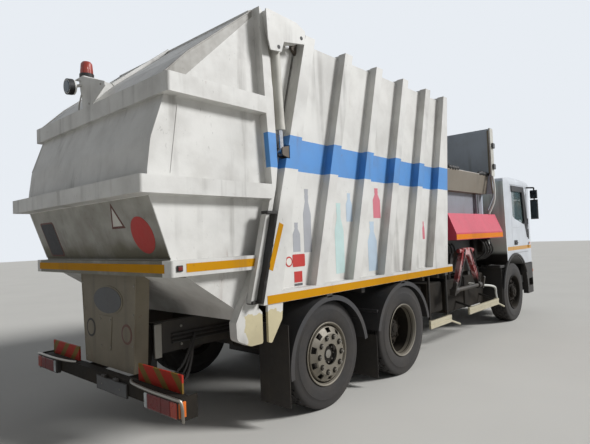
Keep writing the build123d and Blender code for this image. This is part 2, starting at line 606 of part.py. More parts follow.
def light_bar():
    """Underrun bar with its hangers to the rails, end plates and drilled number plate panel."""
    rear, front = TAG_X - 1690, TAG_X - 1610
    beam = block(rear, front, -1220, 1220, 430, 550)
    hangers = pair(side([(front, 430), (front, 550), (front + 45, 550), (RAIL_REAR - 60, 940),
                         (RAIL_REAR - 1, 940), (RAIL_REAR - 1, 640), (front + 110, 430)], -390, -360))
    ends = pair(block(rear - 10, front + 50, -1232, -1220, 395, 560))
    panel = block(rear - 8, rear, -490, 30, 412, 522)
    holes = [bar((rear - 20, y, 467), (rear + 40, y, 467), 3.5) for y in (-380, -80)]
    return fuse([beam, *hangers, *ends, panel]) - holes


# Lifter

def lifter_hood():
    """Sloping hood over the stowed arm, folded to a band at its foot and closed at both ends."""
    inner = -HOPPER_Y - 1
    outline = [(inner, 1935), (-1130, 1925), (-HALF_WIDTH, 1630), (-HALF_WIDTH, 1530)]
    sheet = across([*outline, (-1235, 1530), (-1235, 1626), (-1120, 1910), (inner, 1920)],
                   HOOD_REAR, HOOD_FRONT)
    ends = [across([*outline, (-1100, 1530), (inner, 1700)], x, x + 12)
            for x in (HOOD_REAR, HOOD_FRONT - 12)]
    return fuse([sheet, *ends])


def lifter_carriage():
    """Sliding carriage: two beams, an upright plate and the arm's pivot ears."""
    low = GUIDE_TOP + 6
    beams = [block(x, x + 80, -1040, 430, low, low + 76) for x in GUIDE_X]
    plate = side([(GUIDE_X[0] - 30, low), (GUIDE_X[0] + 60, 1330, 40), (GUIDE_X[1] + 20, 1330, 40),
                  (GUIDE_X[1] + 110, low)], -1070, -1040)
    y, z = ARM_PIVOT
    ears = [across([(-1070, z - 90), (-1070, z - 30), (y + 10, z + 48, 20), (y - 42, z, 25),
                    (y + 10, z - 48, 20)], x - 15, x + 15)
            - bar((x - 20, y, z), (x + 20, y, z), 30.5) for x in (ARM_X - 230, ARM_X + 230)]
    return fuse([*beams, plate, *ears])


def lifter_arm():
    """Inverted V arm with its pivot tube and the bosses for the hook tube."""
    (y, z), (hook_y, hook_z) = ARM_PIVOT, HOOK_PIVOT
    right = [(ARM_X + 150, z + 40, 20), (ARM_X + 480, hook_z), (ARM_X + 400, hook_z),
             (ARM_X + 60, z - 60, 30)]
    left = [(2 * ARM_X - x, *rest) for x, *rest in reversed(right)]
    legs = side([*right, *left], y - 32, y + 32)
    bosses = [bar((ARM_X + dx - 45, hook_y, hook_z), (ARM_X + dx + 45, hook_y, hook_z), 52)
              for dx in (-440, 440)]
    tube = bar((ARM_X - 260, y, z), (ARM_X + 260, y, z), 30)
    bore = bar((ARM_X - 600, hook_y, hook_z), (ARM_X + 600, hook_y, hook_z), 32.5)
    return fuse([legs, *bosses]) - bore + tube


def lifter_hooks():
    """Cross tube under the arm with two bin hooks."""
    y, z = HOOK_PIVOT
    tube = bar((ARM_X - 545, y, z), (ARM_X + 545, y, z), 32)
    hooks = [across([(y - 45, z - 60), (y - 80, z + 120, 20), (y - 45, z + 140, 15), (y - 15, z + 20),
                     (y + 36, z + 36), (y + 36, z - 60)], x, x + 40)
             for x in (ARM_X - 545, ARM_X + 505)]
    return fuse([tube, *hooks])


def guard_rail(x0, x1, z):
    """Grooved aluminium guard rail on the right."""
    groove = block(TAG_X + x0 - 1, TAG_X + x1 + 1, -1240, -1232, z - 8, z + 8)
    foot = bar((TAG_X + x1 - 30, -1205, z - 20), (TAG_X + x1 + 320, -1205, z - 130), 14)
    return block(TAG_X + x0, TAG_X + x1, -1238, -1210, z - 50, z + 50) - groove + foot


def side_guards():
    """Two guard rails on each side with their tubes and hangers."""
    tubes = [bar((TAG_X + x, -1196, 440), (TAG_X + x, -1196, FLOOR_Z - 1), 16) for x in (2150, 2660)]
    short = fuse([guard_rail(2090, 2720, 460), *tubes])
    long = guard_rail(3340, 4560, 470)
    hangers = [bar((TAG_X + x, -1212, 500), (TAG_X + x, -RAIL_OUT - 8, 730), 18)
               for x in (3500, 4500)]
    left_hangers = [bar((1500, 1212, 500), (1500, RAIL_OUT + 8, 730), 18),
                    bar((1000, 1212, 540), (1000, 1091, 540), 18)]
    return short, other_side(short), fuse([long, *hangers]), fuse([other_side(long), *left_hangers])


# Write the nodes

save("frame_rails", frame_rails())
save("body_subframe", *body_subframe())
save("drive_axle", driven_axle())
save("tag_axle", trailing_axle())
save("front_axle_beam", steering_beam())
save("engine_block", block(2750, 3880, -330, 330, 740, 1040))
save("tanks_and_boxes", *side_boxes())

envelope, room = cab_block(0), cab_block(CAB_WALL)
band = bumper_band(0, BUMPER_LOW, BUMPER_TOP) - bumper_band(90, BUMPER_LOW - 1, BUMPER_TOP + 1)
save("cab_shell", cab_shell(envelope, room))
save("cab_windows", *cab_windows())
save("cab_seats", *pair(seat()))
save("dashboard", dashboard())
save("mirrors", *pair(mirror_set()))
save("front_bumper", bumper(band))
save("headlamps", *(band & lamp for lamp in lamp_boxes(3)))

right_hand = {
    "knuckle": knuckle(),
    "door": door(envelope - room),
    "door_window": door_window(),
    "ram_barrel": ram_barrel(),
    "ram_rod": ram_rod(),
}
for name, shape in right_hand.items():
    save(f"right_{name}", shape)
    save(f"left_{name}", other_side(shape))

right_wheels = {
    "front_right_tyre": tyre(FRONT_X, -FRONT_Y),
    "front_right_rim": single_rim(FRONT_X, -FRONT_Y),
    "drive_right_tyres": Compound([tyre(DRIVE_X, -y) for y in TWIN_Y]),
    "drive_right_rims": twin_rims(DRIVE_X),
    "tag_right_tyre": tyre(TAG_X, -TAG_Y),
    "tag_right_rim": single_rim(TAG_X, -TAG_Y),
}
for name, shape in right_wheels.items():
    save(name, shape)
    save(name.replace("right", "left"), other_side(shape))

save("body_shell", body_shell())
save("body_ribs", *pair(body_ribs()), *roof_hoops())
save("hopper", hopper(), hopper_hose())
save("mudguards", *pair(*mudguards()))
save("mud_flaps", *pair(block(TAG_X - 596, TAG_X - 590, -1245, -870, 170, 890),
                        block(TAG_X + 805, TAG_X + 811, -1240, -600, 100, 560)))
save("side_guards", *side_guards())
save("gate_brackets", *pair(*gate_brackets()))
save("light_bar", light_bar())
save("hazard_boards", *pair(block(TAG_X - 1626, TAG_X - 1611, -1140, -540, 551, 686)))

save("tailgate_shell", gate_shell())
save("tailgate_frame", gate_frame())
save("rear_post", rear_post())
save("beacon_bracket", beacon_bracket())
save("beacon", beacon())

save("lifter_hood", lifter_hood())
save("lifter_guides", *[block(x, x + 80, -1040, 1000, RAIL_TOP + 1, GUIDE_TOP) for x in GUIDE_X])
save("lifter_carriage", lifter_carriage())
save("lifter_arm", lifter_arm())
save("lifter_hooks", lifter_hooks())
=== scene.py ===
"""Side-loading refuse truck: trim, finishes, light and camera around its packed CAD frame.

Metres, in the frame's own axes: X forward, Y to the truck's left, Z up.
"""

from functools import partialmethod
from math import atan2, cos, hypot, pi, radians, sin

import bmesh
import bpy
from bpy.props import FloatProperty, FloatVectorProperty, IntProperty, PointerProperty
from mathutils import Matrix, Vector, noise


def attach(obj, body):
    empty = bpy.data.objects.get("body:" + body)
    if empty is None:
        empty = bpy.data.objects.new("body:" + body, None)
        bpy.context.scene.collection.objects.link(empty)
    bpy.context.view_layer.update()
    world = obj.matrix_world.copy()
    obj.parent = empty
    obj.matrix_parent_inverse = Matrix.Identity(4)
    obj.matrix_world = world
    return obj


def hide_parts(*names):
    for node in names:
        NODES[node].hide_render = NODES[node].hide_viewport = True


bl_info = {
    "name": "Side-loading refuse truck",
    "version": (1, 0, 0),
    "blender": (4, 5, 0),
    "location": "3D View > Sidebar > Refuse truck",
    "description": "Trims, paints and lights a side-loading refuse truck around its CAD frame",
    "category": "Object",
}

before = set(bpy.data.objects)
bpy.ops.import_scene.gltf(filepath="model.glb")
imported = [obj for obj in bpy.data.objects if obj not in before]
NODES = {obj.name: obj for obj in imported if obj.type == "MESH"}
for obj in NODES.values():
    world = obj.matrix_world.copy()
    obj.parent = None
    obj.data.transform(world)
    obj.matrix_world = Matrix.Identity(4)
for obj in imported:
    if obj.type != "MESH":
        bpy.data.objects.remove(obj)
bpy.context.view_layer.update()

# Crumples and lumps come out the same at every run
noise.seed_set(1)

# Places read off the CAD frame
TAG_X, DRIVE_X, FRONT_X, HUB_Z = -2.46, -1.06, 3.06, 0.52
FRONT_Y, TAG_Y, TWIN_Y = 1.04, 1.05, (0.735, 1.085)
WALL_Y, RIB_Y, GATE_Y, BELT_Y, CAB_Y = 1.16, 1.25, 1.12, 1.222, 1.232
POST_X = TAG_X - 1.605
WAIST_Z = (1.276, 1.343)
SIDES = (("right", -1), ("left", 1))
BOTH = (-1, 1)


def srgb(r, g, b):
    """Linear colour from 0-255 display values."""
    return tuple((c / 255 / 12.92) if c <= 10 else ((c / 255 + 0.055) / 1.055) ** 2.4
                 for c in (r, g, b))


# User settings

def colour(name, description, value):
    """Colour property."""
    return FloatVectorProperty(name=name, description=description, default=srgb(*value),
                               subtype="COLOR", size=3, min=0, max=1)


def length(name, description, value):
    """Length property in metres."""
    return FloatProperty(name=name, description=description, default=value, min=0, unit="LENGTH",
                         subtype="DISTANCE")


class PaintSettings(bpy.types.PropertyGroup):
    """Colours of the truck's finishes."""
    body: colour("Body white", "Paint of the refuse body and the tailgate", (222, 221, 217))
    cab: colour("Cab white", "Paint of the cab and its doors", (209, 214, 220))
    stripe: colour("Blue stripe", "Stripe round the refuse body", (62, 138, 208))
    band: colour("Golden band", "Bands on the sill, the belts and the cab", (204, 144, 4))
    hood: colour("Hood red", "Sun-faded paint of the lifter's hood", (205, 62, 88))
    arm: colour("Arm red", "Paint of the lifter's arm", (150, 44, 48))
    dirt: colour("Road dirt", "Dust and grime on every finish", (96, 84, 68))
    rust: colour("Rust", "Rust at chips and seams", (112, 58, 26))
    grime: FloatProperty(name="Grime", description="How dirty the paint is", default=0.55, min=0,
                         max=1, subtype="FACTOR")


class WheelSettings(bpy.types.PropertyGroup):
    """Sizes of the tyres and rims."""
    tyre_radius: length("Tyre radius", "Outer radius of every tyre", 0.52)
    half_width: length("Half width", "Half the width of one tyre", 0.149)
    groove: length("Groove depth", "Depth of the tread grooves", 0.013)
    nuts: IntProperty(name="Nuts", description="Wheel nuts on each rim", default=10, min=5, max=12)


class TrimSettings(bpy.types.PropertyGroup):
    """Sizes of small trim."""
    band_height: length("Band height", "Height of the orange bands on the belts", 0.064)
    hose_radius: length("Hose radius", "Radius of the lifter's hydraulic hoses", 0.012)
    sign_radius: length("Sign radius", "Radius of the blank round sign on the tailgate", 0.149)


class LightSettings(bpy.types.PropertyGroup):
    """Studio light."""
    key: FloatProperty(name="Key light", description="Strength of the soft key light", default=3.0,
                       min=0)
    fill: FloatProperty(name="Fill light", description="Strength of the light all round",
                        default=0.16, min=0)


# Shader expressions

class Value:
    """A shader value or vector; arithmetic on it adds Math nodes to its node tree."""

    def __init__(self, graph, socket):
        self.graph, self.socket = graph, socket

    def math(self, operation, *others):
        return self.graph.add("Math", {"operation": operation}, dict(enumerate((self, *others))))

    def __rsub__(self, other):
        return self.graph.add("Math", {"operation": "SUBTRACT"}, {0: other, 1: self})

    __add__ = __radd__ = partialmethod(math, "ADD")
    __mul__ = __rmul__ = partialmethod(math, "MULTIPLY")
    __sub__ = partialmethod(math, "SUBTRACT")
    __truediv__ = partialmethod(math, "DIVIDE")
    __pow__ = partialmethod(math, "POWER")
    __gt__ = partialmethod(math, "GREATER_THAN")
    __lt__ = partialmethod(math, "LESS_THAN")
    __abs__ = partialmethod(math, "ABSOLUTE")

    def clamp(self):
        return self.graph.add("Clamp", {}, {0: self})

    def between(self, low, high):
        """1 where the value lies between two limits."""
        return (self > low) * (self < high)


class Graph:
    """A node tree that grows node by node."""

    def __init__(self, tree):
        self.tree = tree

    def add(self, kind, settings, inputs, out=0):
        """New node: its settings, then the values or links of its sockets; returns one output."""
        node = self.tree.nodes.new("ShaderNode" + kind)
        for key, value in settings.items():
            setattr(node, key, value)
        for key, value in inputs.items():
            self.feed(node.inputs[key], value)
        return Value(self, node.outputs[out])

    def feed(self, socket, value):
        """Link or constant on a socket."""
        if isinstance(value, Value):
            self.tree.links.new(value.socket, socket)
        elif socket.type == "RGBA":
            socket.default_value = (*value, 1)
        else:
            socket.default_value = value


class Finish(Graph):
    """A procedural material with its Principled shader and object position."""

    def __init__(self, name):
        self.material = bpy.data.materials.new(name)
        self.material.use_nodes = True
        super().__init__(self.material.node_tree)
        self.shader = self.tree.nodes["Principled BSDF"]
        self.place = self.add("TexCoord", {}, {}, out="Object")
        self.x, self.y, self.z = (self.add("SeparateXYZ", {}, {0: self.place}, out=k)
                                  for k in range(3))

    def set(self, **inputs):
        """Inputs of the Principled shader, with underscores for spaces."""
        for key, value in inputs.items():
            label = key.replace("_", " ").title().replace("Ior", "IOR")
            self.feed(self.shader.inputs[label], value)

    def noise(self, scale, detail=3, stretch=(1, 1, 1), rough=0.55):
        """Noise in object space, 0 to 1."""
        place = self.add("Mapping", {}, {"Vector": self.place, "Scale": stretch})
        return self.add("TexNoise", {}, {"Vector": place, "Scale": scale, "Detail": detail,
                                         "Roughness": rough})

    def steps(self, value, low, high):
        """0 below low, 1 above high, eased between."""
        return self.add("MapRange", {"interpolation_type": "SMOOTHSTEP"},
                        {"Value": value, "From Min": low, "From Max": high})

    def mix(self, low, high, factor):
        """Colour between two."""
        return self.add("Mix", {"data_type": "RGBA"}, {"Factor": factor, 6: low, 7: high}, out=2)

    def fade(self, base, share, factor):
        """Colour between a base and a darker share of it."""
        return self.mix(base, tuple(c * share for c in base), factor)

    def bump(self, height, distance, strength=0.5):
        """Normal from a height."""
        return self.add("Bump", {}, {"Height": height, "Distance": distance, "Strength": strength})


def user_colour(name):
    """A colour of the user's paint settings."""
    return tuple(getattr(bpy.context.scene.truck_paint, name))


def weathered(name, base, rough=0.5, metallic=0.0, dust=0.5, rust=0.0, streaks=0.0, bump=0.002,
              pattern=None, coat=0.0, gloss=0.5):
    """Paint, rubber or metal with dust, vertical streaks, stains, chips and slight dents."""
    dirt, grime = user_colour("dirt"), bpy.context.scene.truck_paint.grime
    m = Finish(name)
    cloud = m.noise(1.3, 4)
    fine = m.noise(26, 5, rough=0.65)
    shade = m.fade(base, 0.72, m.steps(cloud, 0.4, 0.75) * 0.6)
    if pattern:
        shade = pattern(m, shade)
    run = m.steps(m.noise(7, 4, (1, 1, 0.06)), 0.52, 0.72) * m.steps(cloud, 0.35, 0.65)
    shade = m.mix(shade, tuple(c * 0.55 + 0.03 for c in dirt), run * (streaks * grime))
    low = m.steps(m.z, 1.9, 0.3)
    film = m.steps(m.noise(3.4, 5), 0.38, 0.7)
    shade = m.mix(shade, dirt, (film * 0.55 + low * 0.6) * (dust * grime))
    if rust:
        spots = m.steps(m.noise(11, 6, rough=0.7), 0.66, 0.72)
        weeps = m.steps(m.noise(9, 5, (1, 1, 0.12)), 0.62, 0.72)
        spots *= m.steps(m.noise(2.1, 2), 0.5, 0.62)
        weeps *= m.steps(m.noise(1.7, 2), 0.52, 0.64)
        shade = m.mix(shade, user_colour("rust"), (spots + weeps * 0.5).clamp() * rust)
    scuffs = m.steps(m.noise(55, 4, (1, 1, 0.4)), 0.66, 0.7) * m.steps(m.noise(4, 2), 0.5, 0.6)
    shade = m.mix(shade, tuple(c * 0.4 for c in dirt), scuffs * (0.5 * grime))
    m.set(base_color=shade, roughness=(fine * 0.25 + (rough - 0.1)).clamp(), metallic=metallic,
          specular_ior_level=gloss, normal=m.bump(m.noise(2.3, 2) + fine * 0.12, bump * 6, 0.35))
    if coat:
        m.set(coat_weight=coat, coat_roughness=0.25)
    return m.material


def body_paint(m, shade):
    """Blue stripe, cream latch toes, black latch sleeves, soot and painted shade on the rear panel,
    and painted shade with grime on the side folds.
    """
    wide = abs(m.y)
    level = m.z + (m.x - TAG_X) * 0.012 + m.noise(40, 2) * 0.006
    front = m.x - (m.z - 1.1) * 0.0958 < 0.18
    stripe = level.between(2.268, 2.572) * (m.x > -3.19) * front * (wide > 1.15)
    shade = m.mix(shade, user_colour("stripe"), stripe * 0.96)
    # Painted shade with grime: grey on the side wall under the roof's sloping edge
    above = m.z - 2.926 - (m.x + 3.955) * 0.945 > 0
    fold_shade_and_grime = above * (wide > 1.11) * (m.z > 2.885) * (m.x < -3.245)
    shade = m.mix(shade, srgb(150, 147, 140), fold_shade_and_grime * (m.noise(8, 4) * 0.5 + 0.6).clamp())
    # Soot and painted shade: the lower rear panel is darkened, most of all towards its bottom
    soot = (m.noise(4, 4) * 0.8 + m.steps(m.z, 1.72, 1.55) * 0.4 + 0.2).clamp()
    rear = (m.x < -4.0) * (m.z < 1.99) * (wide < 1.112)
    shade = m.mix(shade, srgb(100, 96, 78), rear * soot)
    rag = m.noise(9, 4) * 0.16
    toe = (m.z + rag < 1.12) * (wide > 1.19) * (m.x + rag * 1.5 > -3.40) * (m.x < -3.0)
    shade = m.mix(shade, srgb(204, 191, 146), toe * 0.85)
    sleeve = (m.x - (m.z - 1.1) * 0.274).between(-3.445, -3.37) * (wide > 1.2055)
    return m.mix(shade, srgb(18, 18, 19), sleeve * m.z.between(1.13, 1.88))


def hopper_painted_shade(m, shade):
    """Painted shade on the hopper: sky-tinted blue-grey shield, bluish wall under a bounce-lit
    taupe chute, black shade under the hood.
    """
    wall_in_painted_shade = (m.y < -0.93) * (m.x < 2.285)
    # Painted shade: the rear-facing shield in a sky-tinted blue-grey
    shade = m.mix(shade, srgb(180, 190, 202), m.x > 2.28)
    # Painted shade: bluish wall under the chute, and the chute in a warm bounce-lit taupe
    shade = m.mix(shade, srgb(138, 141, 150), wall_in_painted_shade * (m.z < 2.29))
    shade = m.mix(shade, srgb(126, 118, 105), wall_in_painted_shade * m.z.between(2.27, 2.596))
    # Black painted shade on the wall under the hood
    low = (m.z + m.noise(6, 4) * 0.1 < 1.97) * (m.y < 0.9)
    return m.mix(shade, srgb(26, 25, 24), low * 0.96)


def cab_paint(m, shade):
    """Golden waist stripe, black wheel arches and underside, and a grey-green ribbed rear wall with
    painted shade and light.
    """
    off, up, wide = m.x - FRONT_X, m.z - HUB_Z, abs(m.y)
    arch = (off * off + up * up < 0.505) * (wide < 1.228)
    rear = m.x + (m.z - 0.94) * 0.043 < 2.662
    # Painted shade: the rear wall in two tones by its ribs
    ribs = m.steps((m.y * 6).math("FRACT").math("PINGPONG", 0.5), 0.1, 0.2)
    wall_in_painted_shade = m.mix(srgb(166, 175, 168), srgb(186, 195, 188), ribs)
    # Painted light: the rear wall lighter towards its foot
    wall_in_painted_shade = m.mix(wall_in_painted_shade, srgb(214, 222, 214), m.steps(m.z, 2.1, 1.5))
    # Black painted shade at the rear wall's bottom, below the hood
    shade = m.mix(shade, m.mix(srgb(24, 24, 24), wall_in_painted_shade, m.steps(m.z, 1.2, 1.3)), rear)
    waist = m.z.between(*WAIST_Z) * (wide > 1.1) * (m.x > 2.68)
    shade = m.mix(shade, user_colour("band"), waist)
    return m.mix(shade, srgb(12, 12, 12), (arch + (m.z < 1.012)).clamp())


def door_paint(m, shade):
    """Golden waist stripe and a black inner edge."""
    shade = m.mix(shade, user_colour("band"), m.z.between(*WAIST_Z))
    return m.mix(shade, srgb(26, 26, 27), abs(m.y) < 1.19)


def guard_paint(m, shade):
    """Black hangers and rear tube behind the pale rails."""
    dark = (abs(m.y) < 1.189) + (m.x < 0.4) * (m.z > 0.515)
    return m.mix(shade, srgb(26, 26, 26), dark.clamp())


def worn_arm(m, shade):
    """Pale pink worn patches, and grease towards the hooks."""
    worn = m.steps(m.noise(8, 5, (1, 1, 0.5), 0.7), 0.46, 0.56)
    shade = m.mix(shade, srgb(204, 168, 168), worn * 0.85)
    return m.mix(shade, srgb(30, 26, 26), m.steps(m.z + m.noise(12, 3) * 0.1, 1.03, 0.93))


def diagonals_in_painted_shade(m, shade):
    """Red and olive diagonal stripes, mirrored about the truck's middle; the olive is the pale
    stripes in painted shade.
    """
    wave = ((abs(m.y) + m.z) * (1 / 0.24)).math("FRACT")
    return m.mix(shade, srgb(184, 44, 28), m.steps(wave, 0.35, 0.38))


def lens(name, base, rough=0.2):
    """Coloured lamp lens with fine prisms."""
    m = Finish(name)
    ribs = m.add("TexWave", {"bands_direction": "DIAGONAL"}, {"Vector": m.place, "Scale": 40})
    dull = m.noise(9, 4)
    m.set(base_color=m.fade(base, 0.5, m.steps(dull, 0.4, 0.8)), roughness=dull * 0.2 + rough,
          coat_weight=0.15, normal=m.bump(ribs, 0.002, 0.4))
    return m.material


def glass():
    """Dark, slightly dusty window glass."""
    m = Finish("window_glass")
    film = m.noise(5, 5)
    m.set(base_color=m.mix(srgb(150, 168, 170), srgb(190, 186, 174), m.steps(film, 0.4, 0.8)),
          roughness=m.steps(film, 0.3, 0.9) * 0.12 + 0.02, transmission_weight=0.92, ior=1.45)
    return m.material


def plain(name, base, rough, metallic=0.0):
    """Clean metal, plastic or cloth, with only a faint unevenness."""
    m = Finish(name)
    grain = m.noise(45, 4)
    m.set(base_color=m.fade(base, 0.7, m.steps(grain, 0.35, 0.75)), metallic=metallic,
          roughness=grain * 0.15 + rough, normal=m.bump(grain, 0.002, 0.25))
    return m.material


def make_finishes():
    """Every finish by name."""
    white, cab = user_colour("body"), user_colour("cab")
    painted = {"dust": 0.5, "rust": 0.55, "streaks": 0.75}
    clean = {"dust": 0.3, "streaks": 0.3, "coat": 0.4, "bump": 0.0003}
    film = {"streaks": 0.5, "bump": 0}
    made = {
        "white": weathered("dirty_white_paint", white, pattern=body_paint, **painted),
        "gate_white": weathered("tailgate_white_paint", white, dust=0.6, rust=0.6, streaks=0.9,
                                pattern=body_paint, bump=0.004),
        "hopper": weathered("hopper_paint_with_painted_shade", white, pattern=hopper_painted_shade, **painted),
        "grey_white": weathered("greyed_white_paint", srgb(205, 203, 194), 0.55, dust=0.8,
                                rust=0.8, streaks=0.8),
        # Dirty beige darkened as painted shade on the rear post and its plates
        "dirty_beige": weathered("dirty_beige_paint_with_painted_shade", srgb(134, 126, 108), 0.6, dust=0.9,
                                 rust=0.5, streaks=1.0),
        "cab": weathered("cab_white_paint", cab, 0.32, pattern=cab_paint, **clean),
        "door": weathered("door_white_paint", cab, 0.32, pattern=door_paint, **clean),
        "band": weathered("golden_reflective_band", user_colour("band"), 0.6, dust=0.15,
                          streaks=0.4, bump=0, gloss=0.1),
        "hood_band": weathered("orange_reflective_band", srgb(228, 132, 26), 0.45, dust=0.15,
                               streaks=0.3, bump=0, gloss=0.1),
        "hood": weathered("faded_red_paint", user_colour("hood"), 0.45, dust=0.2, streaks=0.3,
                          rust=0.2),
        "arm": weathered("arm_red_paint", user_colour("arm"), dust=0.3, rust=0.3, streaks=0.5,
                         pattern=worn_arm),
        "chassis": weathered("dusty_black_chassis_paint", srgb(24, 24, 25), 0.6, dust=0.6,
                             rust=0.4, streaks=0.3),
        "cast": weathered("rusty_cast_metal", srgb(92, 84, 76), 0.6, 0.4, dust=0.8, rust=0.9),
        "black": weathered("black_plastic", srgb(22, 23, 25), dust=0.3, streaks=0.2, bump=0.001),
        "guard": weathered("dusty_mudguard_plastic", srgb(38, 40, 45), 0.6, dust=0.35, streaks=0.3),
        "flap": weathered("flap_rubber", srgb(20, 20, 21), 0.75, dust=0.35, streaks=0.4),
        "tyre": weathered("tyre_rubber", srgb(34, 34, 36), 0.8, dust=0.28, bump=0.001),
        "rim": weathered("dusty_rim_paint", srgb(126, 121, 110), 0.5, 0.3, dust=0.6, rust=0.4),
        # Black paint on the light bar, and black painted shade in rims, under the hood and under
        # the truck
        "soot": weathered("black_paint_and_painted_shade", srgb(15, 15, 15), 0.8, dust=0.3, rust=0.2,
                          gloss=0.2),
        "steel": weathered("worn_steel", srgb(150, 147, 140), 0.4, 0.75, rust=0.5),
        "alloy": weathered("anodised_guard_alloy", srgb(206, 198, 172), 0.42, 0.25, dust=0.3,
                           streaks=0.3, bump=0, pattern=guard_paint),
        "chrome": plain("rod_chrome", srgb(200, 200, 202), 0.12, 1.0),
        "grey": weathered("grey_plastic", srgb(88, 90, 92), 0.6, dust=0.3, bump=0.001),
        "cloth": plain("seat_cloth", srgb(60, 66, 78), 0.85),
        # The olive base stands for the boards' pale stripes in painted shade
        "boards": weathered("hazard_film", srgb(128, 100, 36), dust=0.25, streaks=0.4, bump=0,
                            pattern=diagonals_in_painted_shade, gloss=0.2),
        # Amber lens darkened towards red-brown: painted shade for the rear lamps' shaded face
        "amber": lens("amber_lens", srgb(172, 50, 24)),
        "red_lens": lens("red_lens", srgb(112, 8, 10)),
        "orange_lens": lens("orange_lens", srgb(226, 112, 20)),
        "clear_lens": lens("clear_lens", srgb(206, 212, 214), 0.1),
        # Mirror glass kept dark: a painted reflection of dark surroundings
        "mirror": plain("mirror_glass", srgb(70, 76, 80), 0.08, 1.0),
        "sign_red": weathered("red_sign_film", srgb(190, 44, 40), 0.45, **film),
        "sign_white": weathered("white_sign_film", srgb(224, 222, 214), 0.45, dust=0.4, **film),
        "ring_red": weathered("brown_red_ring_film", srgb(92, 40, 32), dust=0.6, bump=0),
        "rubber": weathered("black_rubber", srgb(20, 20, 21), 0.6, dust=0.3),
        "hose": weathered("hydraulic_hose_rubber", srgb(26, 26, 28), dust=0.35, bump=0),
        "pale_hose": weathered("pale_hose", srgb(230, 230, 224), dust=0.2, bump=0),
        "glass": glass(),
    }
    for shade, value in (("teal", (196, 222, 220)), ("blue", (188, 206, 222)),
                         ("pink", (214, 120, 134)), ("grey", (168, 170, 176))):
        made[f"pale_{shade}"] = weathered(f"pale_{shade}_artwork", srgb(*value), **film)
    return made


FINISHES = {}


def finish(name):
    """Finish by name, all made on first use."""
    if not FINISHES:
        FINISHES.update(make_finishes())
    return FINISHES[name]


# Slot of each finish, and the CAD nodes that wear it
WEAR = {
    "white": ("white_paint", "body_shell body_ribs beacon_bracket"),
    "gate_white": ("white_paint", "tailgate_shell tailgate_frame"),
    "grey_white": ("white_paint", "left_ram_barrel right_ram_barrel"),
    "hopper": ("white_paint", "hopper"),
    "dirty_beige": ("white_paint", "rear_post"),
    "cab": ("cab_paint", "cab_shell"),
    "door": ("cab_paint", "left_door right_door"),
    "hood": ("red_paint", "lifter_hood"),
    "arm": ("red_paint", "lifter_arm"),
    "chassis": ("chassis_paint", "frame_rails body_subframe drive_axle tag_axle front_axle_beam "
                "left_knuckle right_knuckle lifter_guides lifter_carriage lifter_hooks"),
    "soot": ("chassis_paint", "light_bar"),
    "cast": ("cast_metal", "engine_block gate_brackets"),
    "black": ("black_plastic", "front_bumper mirrors"),
    "guard": ("black_plastic", "mudguards"),
    "flap": ("flap_rubber", "mud_flaps"),
    "tyre": ("tyre_rubber", ""),
    "rim": ("rim_paint", ""),
    "alloy": ("guard_metal", "side_guards"),
    "chrome": ("rod_chrome", "left_ram_rod right_ram_rod"),
    "grey": ("grey_plastic", "dashboard tanks_and_boxes"),
    "cloth": ("seat_fabric", "cab_seats"),
    "boards": ("hazard_film", "hazard_boards"),
    "amber": ("beacon_plastic", "beacon"),
    "clear_lens": ("lamp_plastic", "headlamps"),
    "glass": ("window_glass", "cab_windows left_door_window right_door_window"),
}


# Modelling

def mirror(point, side):
    """Point given for the left side, on the right (-1) or the left (1)."""
    return Vector((point[0], side * point[1], point[2]))


def facing(origin, normal, up=(0, 0, 1)):
    """Matrix that lays a flat (u, v) outline on a surface: v along up, w along the normal."""
    w = Vector(normal).normalized()
    u = Vector(up).cross(w).normalized()
    v = w.cross(u)
    return Matrix.Translation(origin) @ Matrix((u, v, w)).transposed().to_4x4()


def disc(radius, sides=28, squash=1.0):
    """Round outline."""
    turns = [2 * pi * k / sides for k in range(sides)]
    return [(radius * cos(t), radius * squash * sin(t)) for t in turns]


def oblong(width, height, corner=0.0):
    """Rectangle centred on nought, with cut corners."""
    w, h, c = width / 2, height / 2, corner
    if not c:
        return [(-w, -h), (w, -h), (w, h), (-w, h)]
    return [(-w + c, -h), (w - c, -h), (w, -h + c), (w, h - c), (w - c, h), (-w + c, h),
            (-w, h - c), (-w, -h + c)]


def flat(outline):
    """One flat face of (u, v) points."""
    part = bmesh.new()
    bmesh.ops.contextual_create(part, geom=[part.verts.new((u, v, 0)) for u, v in outline])
    return part


def corners(geom):
    """Vertices among an operator's results."""
    return [v for v in geom if isinstance(v, bmesh.types.BMVert)]


def thicken(part, thick):
    """Makes flat faces a slab along W."""
    moved = bmesh.ops.extrude_face_region(part, geom=part.faces[:])["geom"]
    bmesh.ops.translate(part, vec=(0, 0, thick), verts=corners(moved))


def draw_out(part, faces):
    """Starts a new ring at the end of a tube: its end faces, its vertices and their middle."""
    moved = bmesh.ops.extrude_face_region(part, geom=faces)["geom"]
    bmesh.ops.delete(part, geom=faces, context="FACES_ONLY")
    ring = corners(moved)
    middle = sum((v.co for v in ring), Vector()) / len(ring)
    return [f for f in moved if isinstance(f, bmesh.types.BMFace)], ring, middle


def close(part):
    """Fills every open loop of edges."""
    bmesh.ops.holes_fill(part, edges=[e for e in part.edges if e.is_boundary], sides=0)


def lathe(points, steps, axis, closed=True, arc=2 * pi):
    """Line of points spun about an axis through the origin."""
    part = bmesh.new()
    line = [part.verts.new(point) for point in points]
    for a, b in zip(line, line[1:] + (line[:1] if closed else [])):
        part.edges.new((a, b))
    full = arc == 2 * pi
    bmesh.ops.spin(part, geom=part.verts[:] + part.edges[:], cent=(0, 0, 0), axis=axis,
                   angle=arc, steps=steps, use_merge=full, use_duplicate=False)
    bmesh.ops.remove_doubles(part, verts=part.verts, dist=1e-5)
    if not full:
        close(part)
    return part


